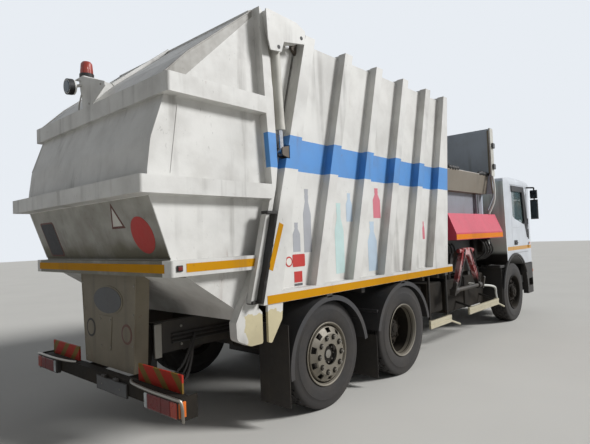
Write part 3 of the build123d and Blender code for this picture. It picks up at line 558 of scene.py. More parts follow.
class Piece:
    """One named piece, built up in a bmesh from operator-made shapes in several finishes.

    Shapes are given for the left side, and made on each of the piece's sides.
    """

    def __init__(self, name, body, first, sides=(1,)):
        self.name, self.body, self.sides = name, body, sides
        self.finishes, self.bm = [], bmesh.new()
        self.paint(first)

    def paint(self, name):
        """Shapes made from here on take this finish."""
        if name not in self.finishes:
            self.finishes.append(name)
        self.use = self.finishes.index(name)
        return self

    def add(self, part, bevel=0.0, turn=None, seal=True):
        """Bevel a part, turn its faces outwards and take it over."""
        if bevel:
            bmesh.ops.bevel(part, geom=part.edges[:], offset=bevel, offset_type="OFFSET",
                            segments=1, profile=0.5, affect="EDGES", material=-1,
                            clamp_overlap=True)
        if turn:
            bmesh.ops.transform(part, matrix=turn, verts=part.verts)
        if seal:
            bmesh.ops.recalc_face_normals(part, faces=part.faces)
        for face in part.faces:
            face.material_index = self.use
        mesh = bpy.data.meshes.new("part")
        part.to_mesh(mesh)
        part.free()
        self.bm.from_mesh(mesh)
        bpy.data.meshes.remove(mesh)

    def box(self, x0, x1, y0, y1, z0, z1, bevel=0.0, turn=None):
        for side in self.sides:
            part = bmesh.new()
            bmesh.ops.create_cube(part, size=1)
            size = (abs(x1 - x0), abs(y1 - y0), abs(z1 - z0))
            middle = ((x0 + x1) / 2, side * (y0 + y1) / 2, (z0 + z1) / 2)
            bmesh.ops.scale(part, vec=size, verts=part.verts)
            bmesh.ops.translate(part, vec=middle, verts=part.verts)
            self.add(part, bevel, turn)

    def rod(self, start, end, radius, sides=6, tip=None):
        """Round bar or cone between two points; few sides make a nut."""
        for side in self.sides:
            a, b = mirror(start, side), mirror(end, side)
            part = bmesh.new()
            bmesh.ops.create_cone(part, cap_ends=True, segments=sides, radius1=radius,
                                  radius2=radius if tip is None else tip, depth=(b - a).length)
            turn = (b - a).to_track_quat("Z", "Y").to_matrix().to_4x4()
            self.add(part, turn=Matrix.Translation((a + b) / 2) @ turn)

    def bolt(self, at, reach, radius, sides=6):
        """Short bar that stands out from a place."""
        self.rod(at, Vector(at) + Vector(reach), radius, sides)

    def ball(self, centre, radius, squash=(1, 1, 1)):
        part = bmesh.new()
        bmesh.ops.create_icosphere(part, subdivisions=2, radius=radius)
        bmesh.ops.scale(part, vec=squash, verts=part.verts)
        self.add(part, turn=Matrix.Translation(centre))

    def plate(self, outline, thick, turn=None, bevel=0.0):
        """Flat outline of (u, v) points, made thick along W."""
        part = flat(outline)
        thicken(part, thick)
        self.add(part, bevel, turn)

    def panel(self, outline, thick, at=(0, 0, 0), bevel=0.0, up=(0, 0, 1), rim=0.0):
        """Outline of (x, z) points, facing outwards from a side; a rim leaves its middle open."""
        for side in self.sides:
            part = flat(outline if side < 0 else [(-u, v) for u, v in reversed(outline)])
            if rim:
                inner = part.faces[:]
                bmesh.ops.inset_region(part, faces=inner, thickness=rim, use_even_offset=True)
                bmesh.ops.delete(part, geom=inner, context="FACES")
            thicken(part, thick)
            self.add(part, bevel, facing(mirror(at, side), (0, side, 0), up))

    def spun(self, profile, centre, steps, closed=True, arc=2 * pi, start=0.0):
        """Profile of (offset inwards, radius) points spun about a line along Y."""
        for side in self.sides:
            points = [(r * cos(start), -side * o, r * sin(start)) for o, r in profile]
            self.add(lathe(points, steps, (0, -1, 0), closed, arc),
                     turn=Matrix.Translation(mirror(centre, side)))

    def hose(self, points, radius, sides=8):
        """Round hose along an eased path: a circle drawn out ring by ring."""
        for side in self.sides:
            path = eased([mirror(p, side) for p in points])
            part = bmesh.new()
            ring = bmesh.ops.create_circle(part, cap_ends=True, segments=sides, radius=radius)
            before = path[1] - path[0]
            turn = before.to_track_quat("Z", "Y").to_matrix().to_4x4()
            bmesh.ops.transform(part, matrix=Matrix.Translation(path[0]) @ turn,
                                verts=ring["verts"])
            faces = part.faces[:]
            for last, here, ahead in zip(path, path[1:], path[2:] + [2 * path[-1] - path[-2]]):
                faces, ring, middle = draw_out(part, faces)
                turn = before.rotation_difference(ahead - last).to_matrix().to_4x4()
                bmesh.ops.transform(part, matrix=Matrix.Translation(here) @ turn
                                    @ Matrix.Translation(-middle), verts=ring)
                before = ahead - last
            close(part)
            self.add(part)

    def done(self, slot=None, smooth=35, replaces=()):
        """Mesh object riding on its body."""
        mesh = bpy.data.meshes.new(self.name)
        self.bm.to_mesh(mesh)
        self.bm.free()
        for name in self.finishes:
            mesh.materials.append(finish(name))
        mesh.polygons.foreach_set("use_smooth", [True] * len(mesh.polygons))
        mesh.set_sharp_from_angle(angle=radians(smooth))
        made = bpy.data.objects.new(self.name, mesh)
        bpy.context.scene.collection.objects.link(made)
        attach(made, self.body)
        slot = slot or WEAR.get(self.finishes[0], (None,))[0]
        if replaces:
            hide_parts(*replaces)


def eased(knots, parts=6):
    """Smooth path through points, as many short parts between two of them."""
    knots = [2 * knots[0] - knots[1], *knots, 2 * knots[-1] - knots[-2]]
    path = []
    for a, b, c, d in zip(knots, knots[1:], knots[2:], knots[3:]):
        for t in (k / parts for k in range(parts)):
            path.append(0.5 * (2 * b + (c - a) * t + (2 * a - 5 * b + 4 * c - d) * t * t
                               + (3 * b - a - 3 * c + d) * t ** 3))
    return [*path, knots[-2]]


# Wheels

TYRE_STEPS = 112
TYRE_SIDE = [(-0.124, 0.292), (-0.134, 0.306), (-0.139, 0.330), (-0.141, 0.334), (-0.147, 0.372)]
RIM_LIP = [(-0.132, 0.290), (-0.137, 0.303), (-0.147, 0.303), (-0.149, 0.297), (-0.145, 0.288),
           (-0.127, 0.277), (-0.120, 0.283)]
INNER_RIM = [(-0.147, 0.303), (-0.132, 0.290), (0.128, 0.283), (0.138, 0.294), (0.147, 0.303),
             (0.130, 0.262), (-0.130, 0.262)]


def tyre_profile(sizes):
    """A tyre's cross-section as a loop of (offset, radius) points."""
    half, top, deep = sizes.half_width, sizes.tyre_radius, sizes.groove
    line = [*TYRE_SIDE, (-half, 0.408), (-half, 0.428), (-0.146, 0.432), (-0.143, 0.462),
            (-0.139, 0.486), (-0.134, 0.504), (-0.126, top - 0.007), (-0.116, top - 0.002)]
    for groove in (-0.078, -0.028):
        line += [(groove - 0.006, top), (groove - 0.004, top - deep),
                 (groove + 0.004, top - deep), (groove + 0.006, top)]
    return [*line, *((-o, r) for o, r in reversed(line)), (0.116, 0.284), (-0.116, 0.284)]


def step_of(face, steps):
    """Distance of a spun face from the hub, and its place in a pattern of four steps."""
    middle = face.calc_center_median()
    turn = atan2(middle.z, middle.x) / (2 * pi) + 1
    return hypot(middle.x, middle.z), int(turn * steps + 0.01) % 4


def add_tyre(piece, x, y):
    """Tyre with four grooves and slots across its tread."""
    sizes, side = bpy.context.scene.truck_wheels, piece.sides[0]
    points = [(r, -side * o, 0) for o, r in tyre_profile(sizes)]
    part = lathe(points, TYRE_STEPS, (0, 1, 0))
    bmesh.ops.recalc_face_normals(part, faces=part.faces)
    slots = []
    for face in part.faces:
        radius, turn = step_of(face, TYRE_STEPS)
        place = abs(face.calc_center_median().y)
        slotted = {0: 0.084 < place < 0.12 or place < 0.02, 2: 0.034 < place < 0.072}
        if radius > sizes.tyre_radius - 0.004 and slotted.get(turn):
            slots.append(face)
    bmesh.ops.inset_individual(part, faces=slots, thickness=0.004, depth=0)
    for face in slots:
        bmesh.ops.translate(part, vec=face.normal * -0.009, verts=face.verts)
    piece.add(part, turn=Matrix.Translation(mirror((x, y, HUB_Z), side)), seal=False)


def rim_disc(deep, side, count):
    """Coned disc with a hand hole between every two nuts."""
    line = [(-deep + 0.010, 0.264), (-deep - 0.010, 0.263), (-deep - 0.020, 0.258),
            (-deep - 0.054, 0.204), (-deep - 0.060, 0.196), (-deep - 0.060, 0.100)]
    steps = 4 * count
    part = lathe([(r, -side * o, 0) for o, r in line], steps, (0, 1, 0), closed=False)
    holes = []
    for face in part.faces:
        radius, turn = step_of(face, steps)
        if 0.204 < radius < 0.258 and turn in (1, 2):
            holes.append(face)
    bmesh.ops.inset_region(part, faces=holes, thickness=0.006, use_even_offset=True)
    bmesh.ops.delete(part, geom=holes, context="FACES")
    bmesh.ops.recalc_face_normals(part, faces=part.faces)
    bmesh.ops.solidify(part, geom=part.faces[:], thickness=0.012)
    return part


def round_hub(x, count, radius):
    """X and Z of places on a circle round a hub."""
    for k in range(count):
        angle = 2 * pi * k / count
        yield x + radius * cos(angle), HUB_Z + radius * sin(angle)


def add_rim(piece, x, y, deep, dark=False, lip="rim"):
    """Rim: lip and barrel, disc with hand holes, nut ring, hub with cap, and the brake drum."""
    count, centre = bpy.context.scene.truck_wheels.nuts, (x, y, HUB_Z)
    # Painted shade: dark rims take a black disc, nuts and hub
    disc_paint, nut_paint = ("soot", "soot") if dark else ("rim", "steel")
    piece.paint(lip).spun(RIM_LIP, centre, 72)
    # The barrel's inside is black, as painted shade
    piece.paint("soot").spun([(-0.126, 0.276), (-0.100, 0.268), (-deep, 0.262), (0.125, 0.262),
                              (0.138, 0.288), (0.138, 0.294), (0.130, 0.283), (-0.118, 0.283)],
                             centre, 72)
    if deep < 0:
        piece.paint("rim").spun([(-0.127, 0.2765), (-0.127, 0.273), (-0.060, 0.262),
                                 (-0.060, 0.266)], centre, 72)
    side = piece.sides[0]
    piece.paint(disc_paint).add(rim_disc(deep, side, count),
                                turn=Matrix.Translation(mirror(centre, side)))
    face = y + deep + 0.062
    for u, v in round_hub(x, count, 0.1675):
        for paint, low, high, radius, sides in (("soot", -0.004, 0.004, 0.027, 14),
                                                (nut_paint, 0, 0.018, 0.0175, 6),
                                                (nut_paint, 0.014, 0.028, 0.010, 8)):
            piece.paint(paint).rod((u, face + low, v), (u, face + high, v), radius, sides)
    hub = face - (0.095 if deep > 0.1 else 0)
    # Black hub, partly painted shade
    piece.paint("soot").spun([(0.0, 0.02), (0.0, 0.112), (-0.03, 0.110), (-0.052, 0.094),
                              (-0.058, 0.055), (-0.058, 0.02)], (x, hub, HUB_Z), 32)
    piece.paint(nut_paint).spun([(-0.040, 0.0), (-0.040, 0.044), (-0.066, 0.040), (-0.071, 0.0)],
                                (x, hub, HUB_Z), 24, closed=False)
    for u, v in round_hub(x, 8, 0.080):
        piece.bolt((u, hub + 0.052, v), (0, 0.012, 0), 0.009)
    piece.paint("chassis").spun([(-deep + 0.02, 0.06), (-deep + 0.02, 0.205),
                                 (-deep + 0.03, 0.222), (0.12, 0.222), (0.12, 0.06)], centre, 36)


class TRUCK_OT_wheels(bpy.types.Operator):
    """Tyres with tread, rims with nuts and hubs, on all six wheel bodies"""
    bl_idname = "truck.wheels"
    bl_label = "Tyres and rims"

    def execute(self, context):
        for tag, side in SIDES:
            for place, x, y, deep in (("front", FRONT_X, FRONT_Y, 0.03),
                                      ("tag", TAG_X, TAG_Y, 0.122)):
                # Front rims are painted black as shade, like the drive rims
                wheel, dark = f"{place}_{tag}", place == "front"
                tyre = Piece(f"{wheel}_tyre_tread", f"{wheel}_wheel", "tyre", (side,))
                add_tyre(tyre, x, y)
                tyre.done(replaces=[f"{wheel}_tyre"])
                rim = Piece(f"{wheel}_wheel_rim", f"{wheel}_wheel", "rim", (side,))
                add_rim(rim, x, y, deep, dark, "soot" if dark else "rim")
                rim.done(replaces=[f"{wheel}_rim"], smooth=30)
            twins = f"drive_{tag}"
            tyres = Piece(f"{twins}_tyre_treads", f"{twins}_wheels", "tyre", (side,))
            for y in TWIN_Y:
                add_tyre(tyres, DRIVE_X, y)
            tyres.done(replaces=[f"{twins}_tyres"])
            rims = Piece(f"{twins}_wheel_rims", f"{twins}_wheels", "rim", (side,))
            add_rim(rims, DRIVE_X, TWIN_Y[1], -0.10, True)
            rims.paint("soot").spun([(-side * o, r) for o, r in INNER_RIM],
                                    (DRIVE_X, TWIN_Y[0], HUB_Z), 56)
            rims.done(replaces=[f"{twins}_rims"], smooth=30)
        return {"FINISHED"}


# Tailgate

def gate_rear(z):
    """X of the tailgate's lower rear panel at a height."""
    return TAG_X - 1.838 + (1.995 - z) / 0.465 * 0.163


def gate_front(z):
    """X of the tailgate's front plane."""
    return TAG_X - 0.886 + (z - 1.1) * 0.274 - 0.014


def crumpled_sleeve(side):
    """Rubber sleeve drawn out ring by ring along Z, each ring pinched and shaken."""
    part = flat([(-0.062, -0.012), (0.062, -0.012), (0.070, 0.0), (0.056, 0.012),
                 (-0.056, 0.012), (-0.070, 0.0)])
    faces = part.faces[:]
    for k in range(17):
        faces, ring, middle = draw_out(part, faces)
        grow = 0.909 if k % 2 else 1.1
        bmesh.ops.scale(part, vec=(grow, grow, 1), verts=ring, space=Matrix.Translation(-middle))
        bmesh.ops.translate(part, vec=(0, 0, 0.044), verts=ring)
        for vert in ring:
            shake = noise.noise_vector(vert.co * 9 + Vector((side, 0, k * 0.4))) * 0.012
            vert.co.x += shake.x
            vert.co.y += shake.y * 0.4
    close(part)
    return part


class TRUCK_OT_tailgate_trim(bpy.types.Operator):
    """Bands, corner lamps, blank signs, latch covers, beads, gasket and beacon on the tailgate"""
    bl_idname = "truck.tailgate_trim"
    bl_label = "Tailgate trim"

    def execute(self, context):
        trim = context.scene.truck_trim
        rear, mid = TAG_X - 1.745, 1.462
        low, high = mid - trim.band_height / 2, mid + trim.band_height / 2
        bands = Piece("tailgate_orange_bands", "tailgate", "band")
        bands.box(rear - 0.002, rear, -1.14, 1.14, low, high)
        bands.sides = BOTH
        bands.box(rear + 0.13, TAG_X - 0.93, BELT_Y, BELT_Y + 0.002, low, high)
        bands.done("hazard_film")
        markers = Piece("tailgate_corner_markers", "tailgate", "rubber", BOTH)
        for paint, half, out, bevel in (("rubber", 0.022, 0.012, 0.003),
                                        ("red_lens", 0.015, 0.018, 0.004)):
            markers.paint(paint).box(rear + 0.067 - half, rear + 0.073 + half, BELT_Y,
                                     BELT_Y + out, mid - half, mid + half, bevel)
        markers.done("lamp_plastic")

        signs = Piece("tailgate_blank_signs", "tailgate", "sign_red")
        edge, inside = (((-w, -h), (w, -h), (0, top))
                        for w, h, top in ((0.106, 0.099, 0.112), (0.074, 0.079, 0.070)))
        for paint, y, z, thick, outline in (
                ("sign_red", -0.855, 1.713, 0.0025, disc(trim.sign_radius)),
                ("ring_red", -0.537, 1.868, 0.0015, edge),
                ("sign_white", -0.537, 1.868, 0.0025, inside),
                ("ring_red", 0.82, 1.72, 0.0015, oblong(0.31, 0.35, 0.02)),
                ("guard", 0.82, 1.72, 0.0025, oblong(0.28, 0.32, 0.02))):
            turn = facing((gate_rear(z), y, z), (-0.944, 0, -0.331))
            signs.paint(paint).plate(outline, thick, turn)
        signs.done("hazard_film")

        covers = Piece("latch_cylinder_covers", "tailgate", "rubber")
        for side in BOTH:
            low, high = (Vector((gate_front(foot) - 0.080, side * 1.262, z))
                         for foot, z in ((1.136, 1.13), (1.876, 1.876)))
            turn = (high - low).to_track_quat("Z", "X").to_matrix().to_4x4()
            covers.add(crumpled_sleeve(side), turn=Matrix.Translation(low) @ turn
                       @ Matrix.Rotation(pi / 2, 4, "Z"))
        covers.sides = BOTH
        for z in (1.14, 1.872):
            x = gate_front(z) - 0.080
            covers.box(x - 0.066, x + 0.066, 1.2, 1.278, z - 0.014, z + 0.014, 0.004)
        covers.done("flap_rubber")

        beads = Piece("tailgate_weld_beads", "tailgate", "gate_white", BOTH)
        for xa, za, xb, zb, proud, radius in (
                (-0.79, 3.65, -1.48, 3.105, -0.001, 0.007),
                (-1.48, 3.105, -1.70, 2.89, -0.001, 0.007),
                (-1.69, 2.74, -1.81, 2.41, -0.002, 0.006),
                (-0.70, 2.735, -1.66, 2.735, 0.001, 0.006),
                (-0.72, 1.996, -1.80, 1.996, 0.001, 0.006),
                (-1.58, 2.70, -1.66, 2.16, 0.001, 0.004),
                (gate_rear(1.99) - TAG_X, 1.99, gate_rear(1.54) - TAG_X, 1.54, -0.002, 0.006)):
            y = GATE_Y + proud
            beads.rod((TAG_X + xa, y, za), (TAG_X + xb, y, zb), radius)
        beads.done()

        caps = Piece("hinge_cover_pin_ends", "tailgate", "rubber", BOTH)
        for x, z in ((TAG_X - 0.61, 3.335), (TAG_X - 0.30, 3.50)):
            caps.bolt((x, 1.268, z), (0, 0.003, 0), 0.018, 20)
        caps.done("flap_rubber")

        gasket = Piece("tailgate_gasket", "tailgate", "rubber", BOTH)
        low, foot, high = (gate_front(z) + 0.004 for z in (1.06, 1.12, 3.38))
        gasket.rod((foot, 1.108, 1.12), (high, 1.108, 3.38), 0.009, 8)
        gasket.sides = (1,)
        gasket.rod((low, -1.1, 1.06), (low, 1.1, 1.06), 0.009, 8)
        gasket.done("flap_rubber")

        fin = Piece("tailgate_roof_trim", "tailgate", "white")
        middle = Matrix.Translation((TAG_X - 1.135, 0.11, 3.398))
        fin.box(-0.40, 0.40, -0.012, 0.012, -0.016, 0.016, 0.003,
                middle @ Matrix.Rotation(radians(-38.3), 4, "Y"))
        fin.plate([(-4.18, 3.18), (-4.115, 2.943), (-3.837, 3.154)], 0.012,
                  facing((0, 0.116, 0), (0, -1, 0)), 0.002)
        fin.done()

        lamps = Piece("tailgate_lamp_trim", "tailgate", "rubber")
        x = TAG_X - 1.722
        lamps.spun([(0.0, 0.066), (0.0, 0.070), (-0.045, 0.070), (-0.045, 0.062)], (0, 0, 0), 28)
        turn = facing((x - 0.086, 0.15, 3.066), (-0.995, 0, -0.1)) @ Matrix.Rotation(pi / 2, 4, "X")
        bmesh.ops.transform(lamps.bm, matrix=turn, verts=lamps.bm.verts)
        lamps.rod((x + 0.068, 0.19, 3.178), (x + 0.068, 0.19, 3.222), 0.063, 28)
        lamps.paint("mirror").rod((x - 0.128, 0.15, 3.061), (x - 0.136, 0.15, 3.060), 0.058, 28,
                                  0.05)
        lamps.paint("steel").hose([(x + 0.004, 0.12, 3.08), (x + 0.012, 0.2, 3.0),
                                   (x + 0.012, 0.24, 2.92), (x + 0.02, 0.25, 2.885)], 0.006)
        for y, z in ((-0.22, 3.02), (0.0, 2.90), (0.14, 3.0), (0.17, 3.14)):
            lamps.bolt((x - 0.004, y, z), (-0.005, 0, 0), 0.009)
        lamps.done("lamp_plastic")

        beacon = Piece("beacon_lens", "tailgate", "amber")
        profile = [(3.196, 0.0), (3.196, 0.056), (3.205, 0.058), (3.26, 0.055), (3.318, 0.050),
                   (3.336, 0.038), (3.344, 0.016), (3.345, 0.0)]
        part = lathe([(r, 0, z) for z, r in profile], 48, (0, 0, 1), closed=False)
        for v in part.verts:
            ridge = round(atan2(v.co.y, v.co.x) / (2 * pi) * 48) % 2
            if ridge and v.co.z < 3.33 and hypot(v.co.x, v.co.y) > 0.03:
                v.co.x, v.co.y = v.co.x * 0.955, v.co.y * 0.955
        beacon.add(part, turn=Matrix.Translation((x + 0.068, 0.19, 0)))
        beacon.done(replaces=["beacon"])
        return {"FINISHED"}


class TRUCK_OT_rear_trim(bpy.types.Operator):
    """Lamp clusters, bar rails, blank plates and discs, and cables at the rear"""
    bl_idname = "truck.rear_trim"
    bl_label = "Rear end trim"

    def execute(self, context):
        bar = TAG_X - 1.690
        lamps = Piece("rear_lamp_clusters", "chassis", "rubber", BOTH)
        lamps.box(bar - 0.045, bar, 0.80, 1.244, 0.415, 0.550, 0.006)
        for paint, y0, y1 in (("clear_lens", 0.815, 0.850), ("red_lens", 0.858, 1.040),
                              ("red_lens", 1.046, 1.155), ("amber", 1.161, 1.238)):
            lamps.paint(paint).box(bar - 0.056, bar - 0.044, y0, y1, 0.428, 0.537, 0.004)
        lamps.paint("orange_lens").box(bar - 0.04, bar + 0.02, 1.235, 1.252, 0.428, 0.537, 0.004)
        lamps.done("lamp_plastic")
        rail = Piece("rear_bar_rails", "chassis", "steel", BOTH)
        rail.hose([(bar + 0.02, 0.5, 0.556), (bar - 0.03, 0.62, 0.562), (bar - 0.055, 0.9, 0.562),
                   (bar - 0.05, 1.20, 0.558), (bar - 0.03, 1.262, 0.535),
                   (bar - 0.02, 1.268, 0.40)], 0.012)
        rail.done("guard_metal")

        plate = Piece("blank_number_plate", "chassis", "grey")
        x = TAG_X - 1.698
        plate.box(x - 0.009, x - 0.005, -0.48, 0.02, 0.414, 0.520, 0.002)
        plate.paint("rubber").box(x - 0.006, x, -0.492, 0.032, 0.408, 0.526, 0.002)
        for y in (-0.33, -0.13):
            plate.box(x - 0.03, x, y - 0.03, y + 0.03, 0.528, 0.552, 0.004)
        for y in (-0.38, -0.08):
            plate.paint("steel").bolt((x - 0.009, y, 0.467), (-0.004, 0, 0), 0.008)
        plate.done("hazard_film")

        post = Piece("rear_panel_blank_plates", "tailgate", "dirty_beige")
        lattice = [(-0.12, -0.15), (0.08, -0.15), (0.12, 0.15), (-0.12, 0.15)]
        for paint, y, z, thick, bevel, outline in (
                ("dirty_beige", -0.006, 1.160, 0.004, 0, disc(0.272, 48, 0.475)),
                ("grey", -0.006, 1.160, 0.007, 0, disc(0.250, 48, 0.46)),
                ("rubber", 0.322, 0.890, 0.002, 0, disc(0.086)),
                ("ring_red", -0.330, 0.890, 0.002, 0, disc(0.086)),
                ("dirty_beige", 0.322, 0.890, 0.003, 0, disc(0.066)),
                ("dirty_beige", -0.330, 0.890, 0.003, 0, disc(0.066)),
                ("dirty_beige", 0.03, 0.87, 0.005, 0.002, lattice)):
            post.paint(paint).plate(outline, thick, facing((POST_X, y, z), (-1, 0, 0)), bevel)
        post.paint("steel")
        for y, z in ((-0.06, 0.75), (0.11, 0.75), (-0.06, 0.99), (0.12, 0.99)):
            post.bolt((POST_X - 0.005, y, z), (-0.005, 0, 0), 0.008)
        post.sides = BOTH
        for z in (0.62, 0.80, 1.06, 1.30):
            post.bolt((POST_X, 0.405 + (z - 0.57) * 0.083, z), (-0.005, 0, 0), 0.009)
        post.paint("dirty_beige").rod((POST_X + 0.001, 0.430, 0.572),
                                      (POST_X + 0.001, 0.499, 1.395), 0.006)
        post.done()

        cables = Piece("rear_cables", "chassis", "hose", BOTH)
        for k, radius in enumerate((0.011, 0.009, 0.013)):
            y = 0.50 + 0.035 * k
            cables.hose([(POST_X + 0.04, y + 0.1, 0.52), (POST_X + 0.18, y, 0.47 - 0.02 * k),
                         (POST_X + 0.40, y + 0.02, 0.56 - 0.04 * k), (POST_X + 0.60, 0.46, 0.82)],
                        radius)
        cables.paint("steel").box(POST_X + 0.19, POST_X + 0.26, 0.42, 0.45, 0.66, 0.95, 0.004)
        cables.done("flap_rubber")
        return {"FINISHED"}


# Refuse body

# Painted bottles on the wall: place ahead of the tag axle and height, half width, height, shade
BOTTLES = ((0.31, 1.27, 0.075, 0.72, "teal"), (0.50, 1.80, 0.055, 0.30, "blue"),
           (1.04, 1.84, 0.075, 0.34, "pink"), (0.92, 1.25, 0.090, 0.55, "blue"),
           (-0.19, 1.51, 0.055, 0.60, "grey"), (-0.35, 1.52, 0.050, 0.27, "grey"),
           (2.15, 1.57, 0.030, 0.23, "pink"), (1.37, 1.70, 0.030, 0.17, "pink"))
BOTTLE = [(1, 0), (1, 0.60), (0.40, 0.80), (0.40, 0.9), (0.52, 0.9), (0.52, 1)]


class TRUCK_OT_body_trim(bpy.types.Operator):
    """Sill bands, weld beads, blank signs, painted bottles and brackets on the refuse body"""
    bl_idname = "truck.body_trim"
    bl_label = "Refuse body trim"

    def execute(self, context):
        bands = Piece("sill_orange_bands", "chassis", "band", BOTH)
        bands.box(-3.30, 0.322, RIB_Y, RIB_Y + 0.002, 1.102, 1.174)
        bands.panel(oblong(0.056, 0.42), 0.002, (TAG_X - 0.7155, RIB_Y, 1.5825),
                    up=(0.141, 0, 0.365))
        bands.done("hazard_film")

        beads = Piece("rib_weld_beads", "chassis", "white", BOTH)
        y, lean = WALL_Y + 0.001, 0.2655 * (3.49 - 1.2)
        for k in range(4):
            x = TAG_X - 0.199 + 0.6 * k
            for foot in (x - 0.002, x + 0.132):
                beads.rod((foot, y, 1.2), (foot + lean, y, 3.49), 0.006)
            beads.bolt((x - 0.01, RIB_Y - 0.002, 1.2005), (0.15, 0, 0), 0.005)
        for k in range(5):
            beads.bolt((-3.1 + 0.6 * k, y, 1.202), (0.4, 0, 0), 0.007)
        beads.done()

        signs = Piece("body_blank_signs", "chassis", "sign_red", BOTH)
        for paint, x, z, thick, outline in (
                ("sign_red", -0.33, 1.44, 0.002, oblong(0.17, 0.115, 0.008)),
                ("sign_red", -0.465, 1.435, 0.001, disc(0.048)),
                ("sign_white", -0.465, 1.435, 0.002, disc(0.034)),
                ("sign_red", -0.345, 1.29, 0.002, oblong(0.11, 0.10)),
                ("grey", -0.345, 1.215, 0.002, oblong(0.11, 0.03))):
            signs.paint(paint).panel(outline, thick, (TAG_X + x, WALL_Y + 0.0005, z))
        signs.done("hazard_film")

        art = Piece("wall_bottle_silhouettes", "chassis", "pale_teal", BOTH)
        for x, z, half, high, shade in BOTTLES:
            outline = [(u * half, v * high) for u, v in
                       (*BOTTLE, *((-u, v) for u, v in reversed(BOTTLE)))]
            art.paint(f"pale_{shade}").panel(outline, 0.0008, (TAG_X + x, WALL_Y + 0.0005, z))
        art.done("hazard_film")

        small = Piece("sill_brackets", "chassis", "chassis", BOTH)
        for x in (-2.46, -1.06, 0.12):
            small.box(x - 0.045, x + 0.045, RIB_Y - 0.04, RIB_Y, 1.062, 1.10, 0.004)
        small.done()
        roof = Piece("body_roof_edges", "chassis", "white", BOTH)
        roof.box(TAG_X - 0.2, TAG_X + 2.84, 1.10, 1.155, 3.50, 3.522, 0.004)
        roof.done()
        return {"FINISHED"}


# Cab

SEAL = [(2.986, 2.434), (3.001, 1.888), (3.115, 1.836), (3.668, 1.724), (3.756, 1.826),
        (3.652, 2.434)]
HANDLE_WELL = [(3.045, 1.365), (3.225, 1.365), (3.225, 1.455), (3.045, 1.455)]
VISOR = [(2.985, 2.345), (3.690, 2.345), (3.668, 2.455), (2.980, 2.455)]
DOOR_EDGE = [(3.765, 1.60), (3.800, 1.50), (3.838, 1.49), (3.840, 1.86), (3.703, 2.44),
             (3.575, 2.43), (3.66, 1.86), (3.70, 1.72)]
CORNER = [(3.872, 1.46), (3.905, 1.46), (3.90, 1.86), (3.872, 1.84)]
ARCH = [(-0.004, 0.662), (-0.016, 0.666), (-0.016, 0.700), (0.0, 0.706), (0.02, 0.700),
        (0.02, 0.662)]


class TRUCK_OT_cab_trim(bpy.types.Operator):
    """Window seals, handles, wipers, grille, lamps, mirror glass and arches on the cab"""
    bl_idname = "truck.cab_trim"
    bl_label = "Cab trim"

    def execute(self, context):
        y = CAB_Y - 0.004
        for tag, side in SIDES:
            door = Piece(f"{tag}_door_trim", f"{tag}_cab_door", "black", (side,))
            for outline, thick, bevel in ((HANDLE_WELL, 0.008, 0.003), (VISOR, 0.020, 0.005),
                                          (DOOR_EDGE, 0.014, 0.004)):
                door.panel(outline, thick, (0, y, 0), bevel)
            door.box(3.07, 3.205, y + 0.006, y + 0.026, 1.392, 1.418, 0.008)
            door.paint("rubber").panel(SEAL, 0.010, (0, y, 0), rim=0.030)
            door.bolt((3.16, y, 1.438), (0, 0.011, 0), 0.010, 12)
            door.paint("cab").box(2.992, 3.80, y - 0.002, y + 0.007, 1.690, 1.702, 0.003)
            door.done("black_plastic")

        trim = Piece("cab_side_trim", "chassis", "black", BOTH)
        trim.spun(ARCH, (FRONT_X, CAB_Y + 0.002, HUB_Z), 40, True, radians(142), radians(28))
        trim.panel(CORNER, 0.012, (0, CAB_Y - 0.002, 0), 0.003)
        trim.box(2.60, 2.70, 1.10, 1.20, 0.955, 1.0, 0.004)
        trim.box(2.345, 2.56, 0.98, 1.205, 0.99, 1.04, 0.01)
        trim.paint("orange_lens").box(3.905, 3.965, 1.208, 1.24, 1.36, 1.40, 0.006)
        # Rubber splash sheet, partly painted shade behind the front wheel
        trim.paint("rubber").box(2.40, 2.412, 0.80, 1.20, 0.34, 0.99, 0.002)
        trim.done()

        front = Piece("cab_front_trim", "chassis", "black")
        for z in (1.10 + 0.075 * k for k in range(5)):
            front.box(4.376, 4.403, -0.62, 0.62, z, z + 0.036, 0.006)
        front.box(4.28, 4.385, -1.0, 1.0, 1.642, 1.668, 0.006)
        front.sides = BOTH
        front.paint("rubber").bolt((4.345, 0.46, 1.735), (0.03, 0, 0), 0.016, 12)
        front.rod((4.358, 0.46, 1.735), (4.322, 0.12, 1.80), 0.007, 8)
        front.rod((4.330, -0.10, 1.77), (4.250, 0.48, 2.12), 0.006, 8)
        front.paint("orange_lens").box(4.16, 4.20, 1.12, 1.20, 0.80, 0.86, 0.006)
        front.done()

        glassy = Piece("mirror_glasses", "chassis", "mirror", BOTH)
        for z0, z1 in ((1.865, 2.19), (2.258, 2.382)):
            glassy.box(3.8725, 3.8755, 1.302, 1.424, z0, z1, 0.001)
        glassy.done("lamp_plastic")

        roof = Piece("cab_roof_trim", "chassis", "black")
        roof.box(3.10, 3.62, -0.36, 0.36, 2.612, 2.634, 0.012)
        for y in (-0.9, -0.45, 0.45, 0.9):
            roof.paint("orange_lens").box(3.86, 3.93, y - 0.045, y + 0.045, 2.585, 2.612, 0.006)
        roof.done()
        return {"FINISHED"}


# Lifter

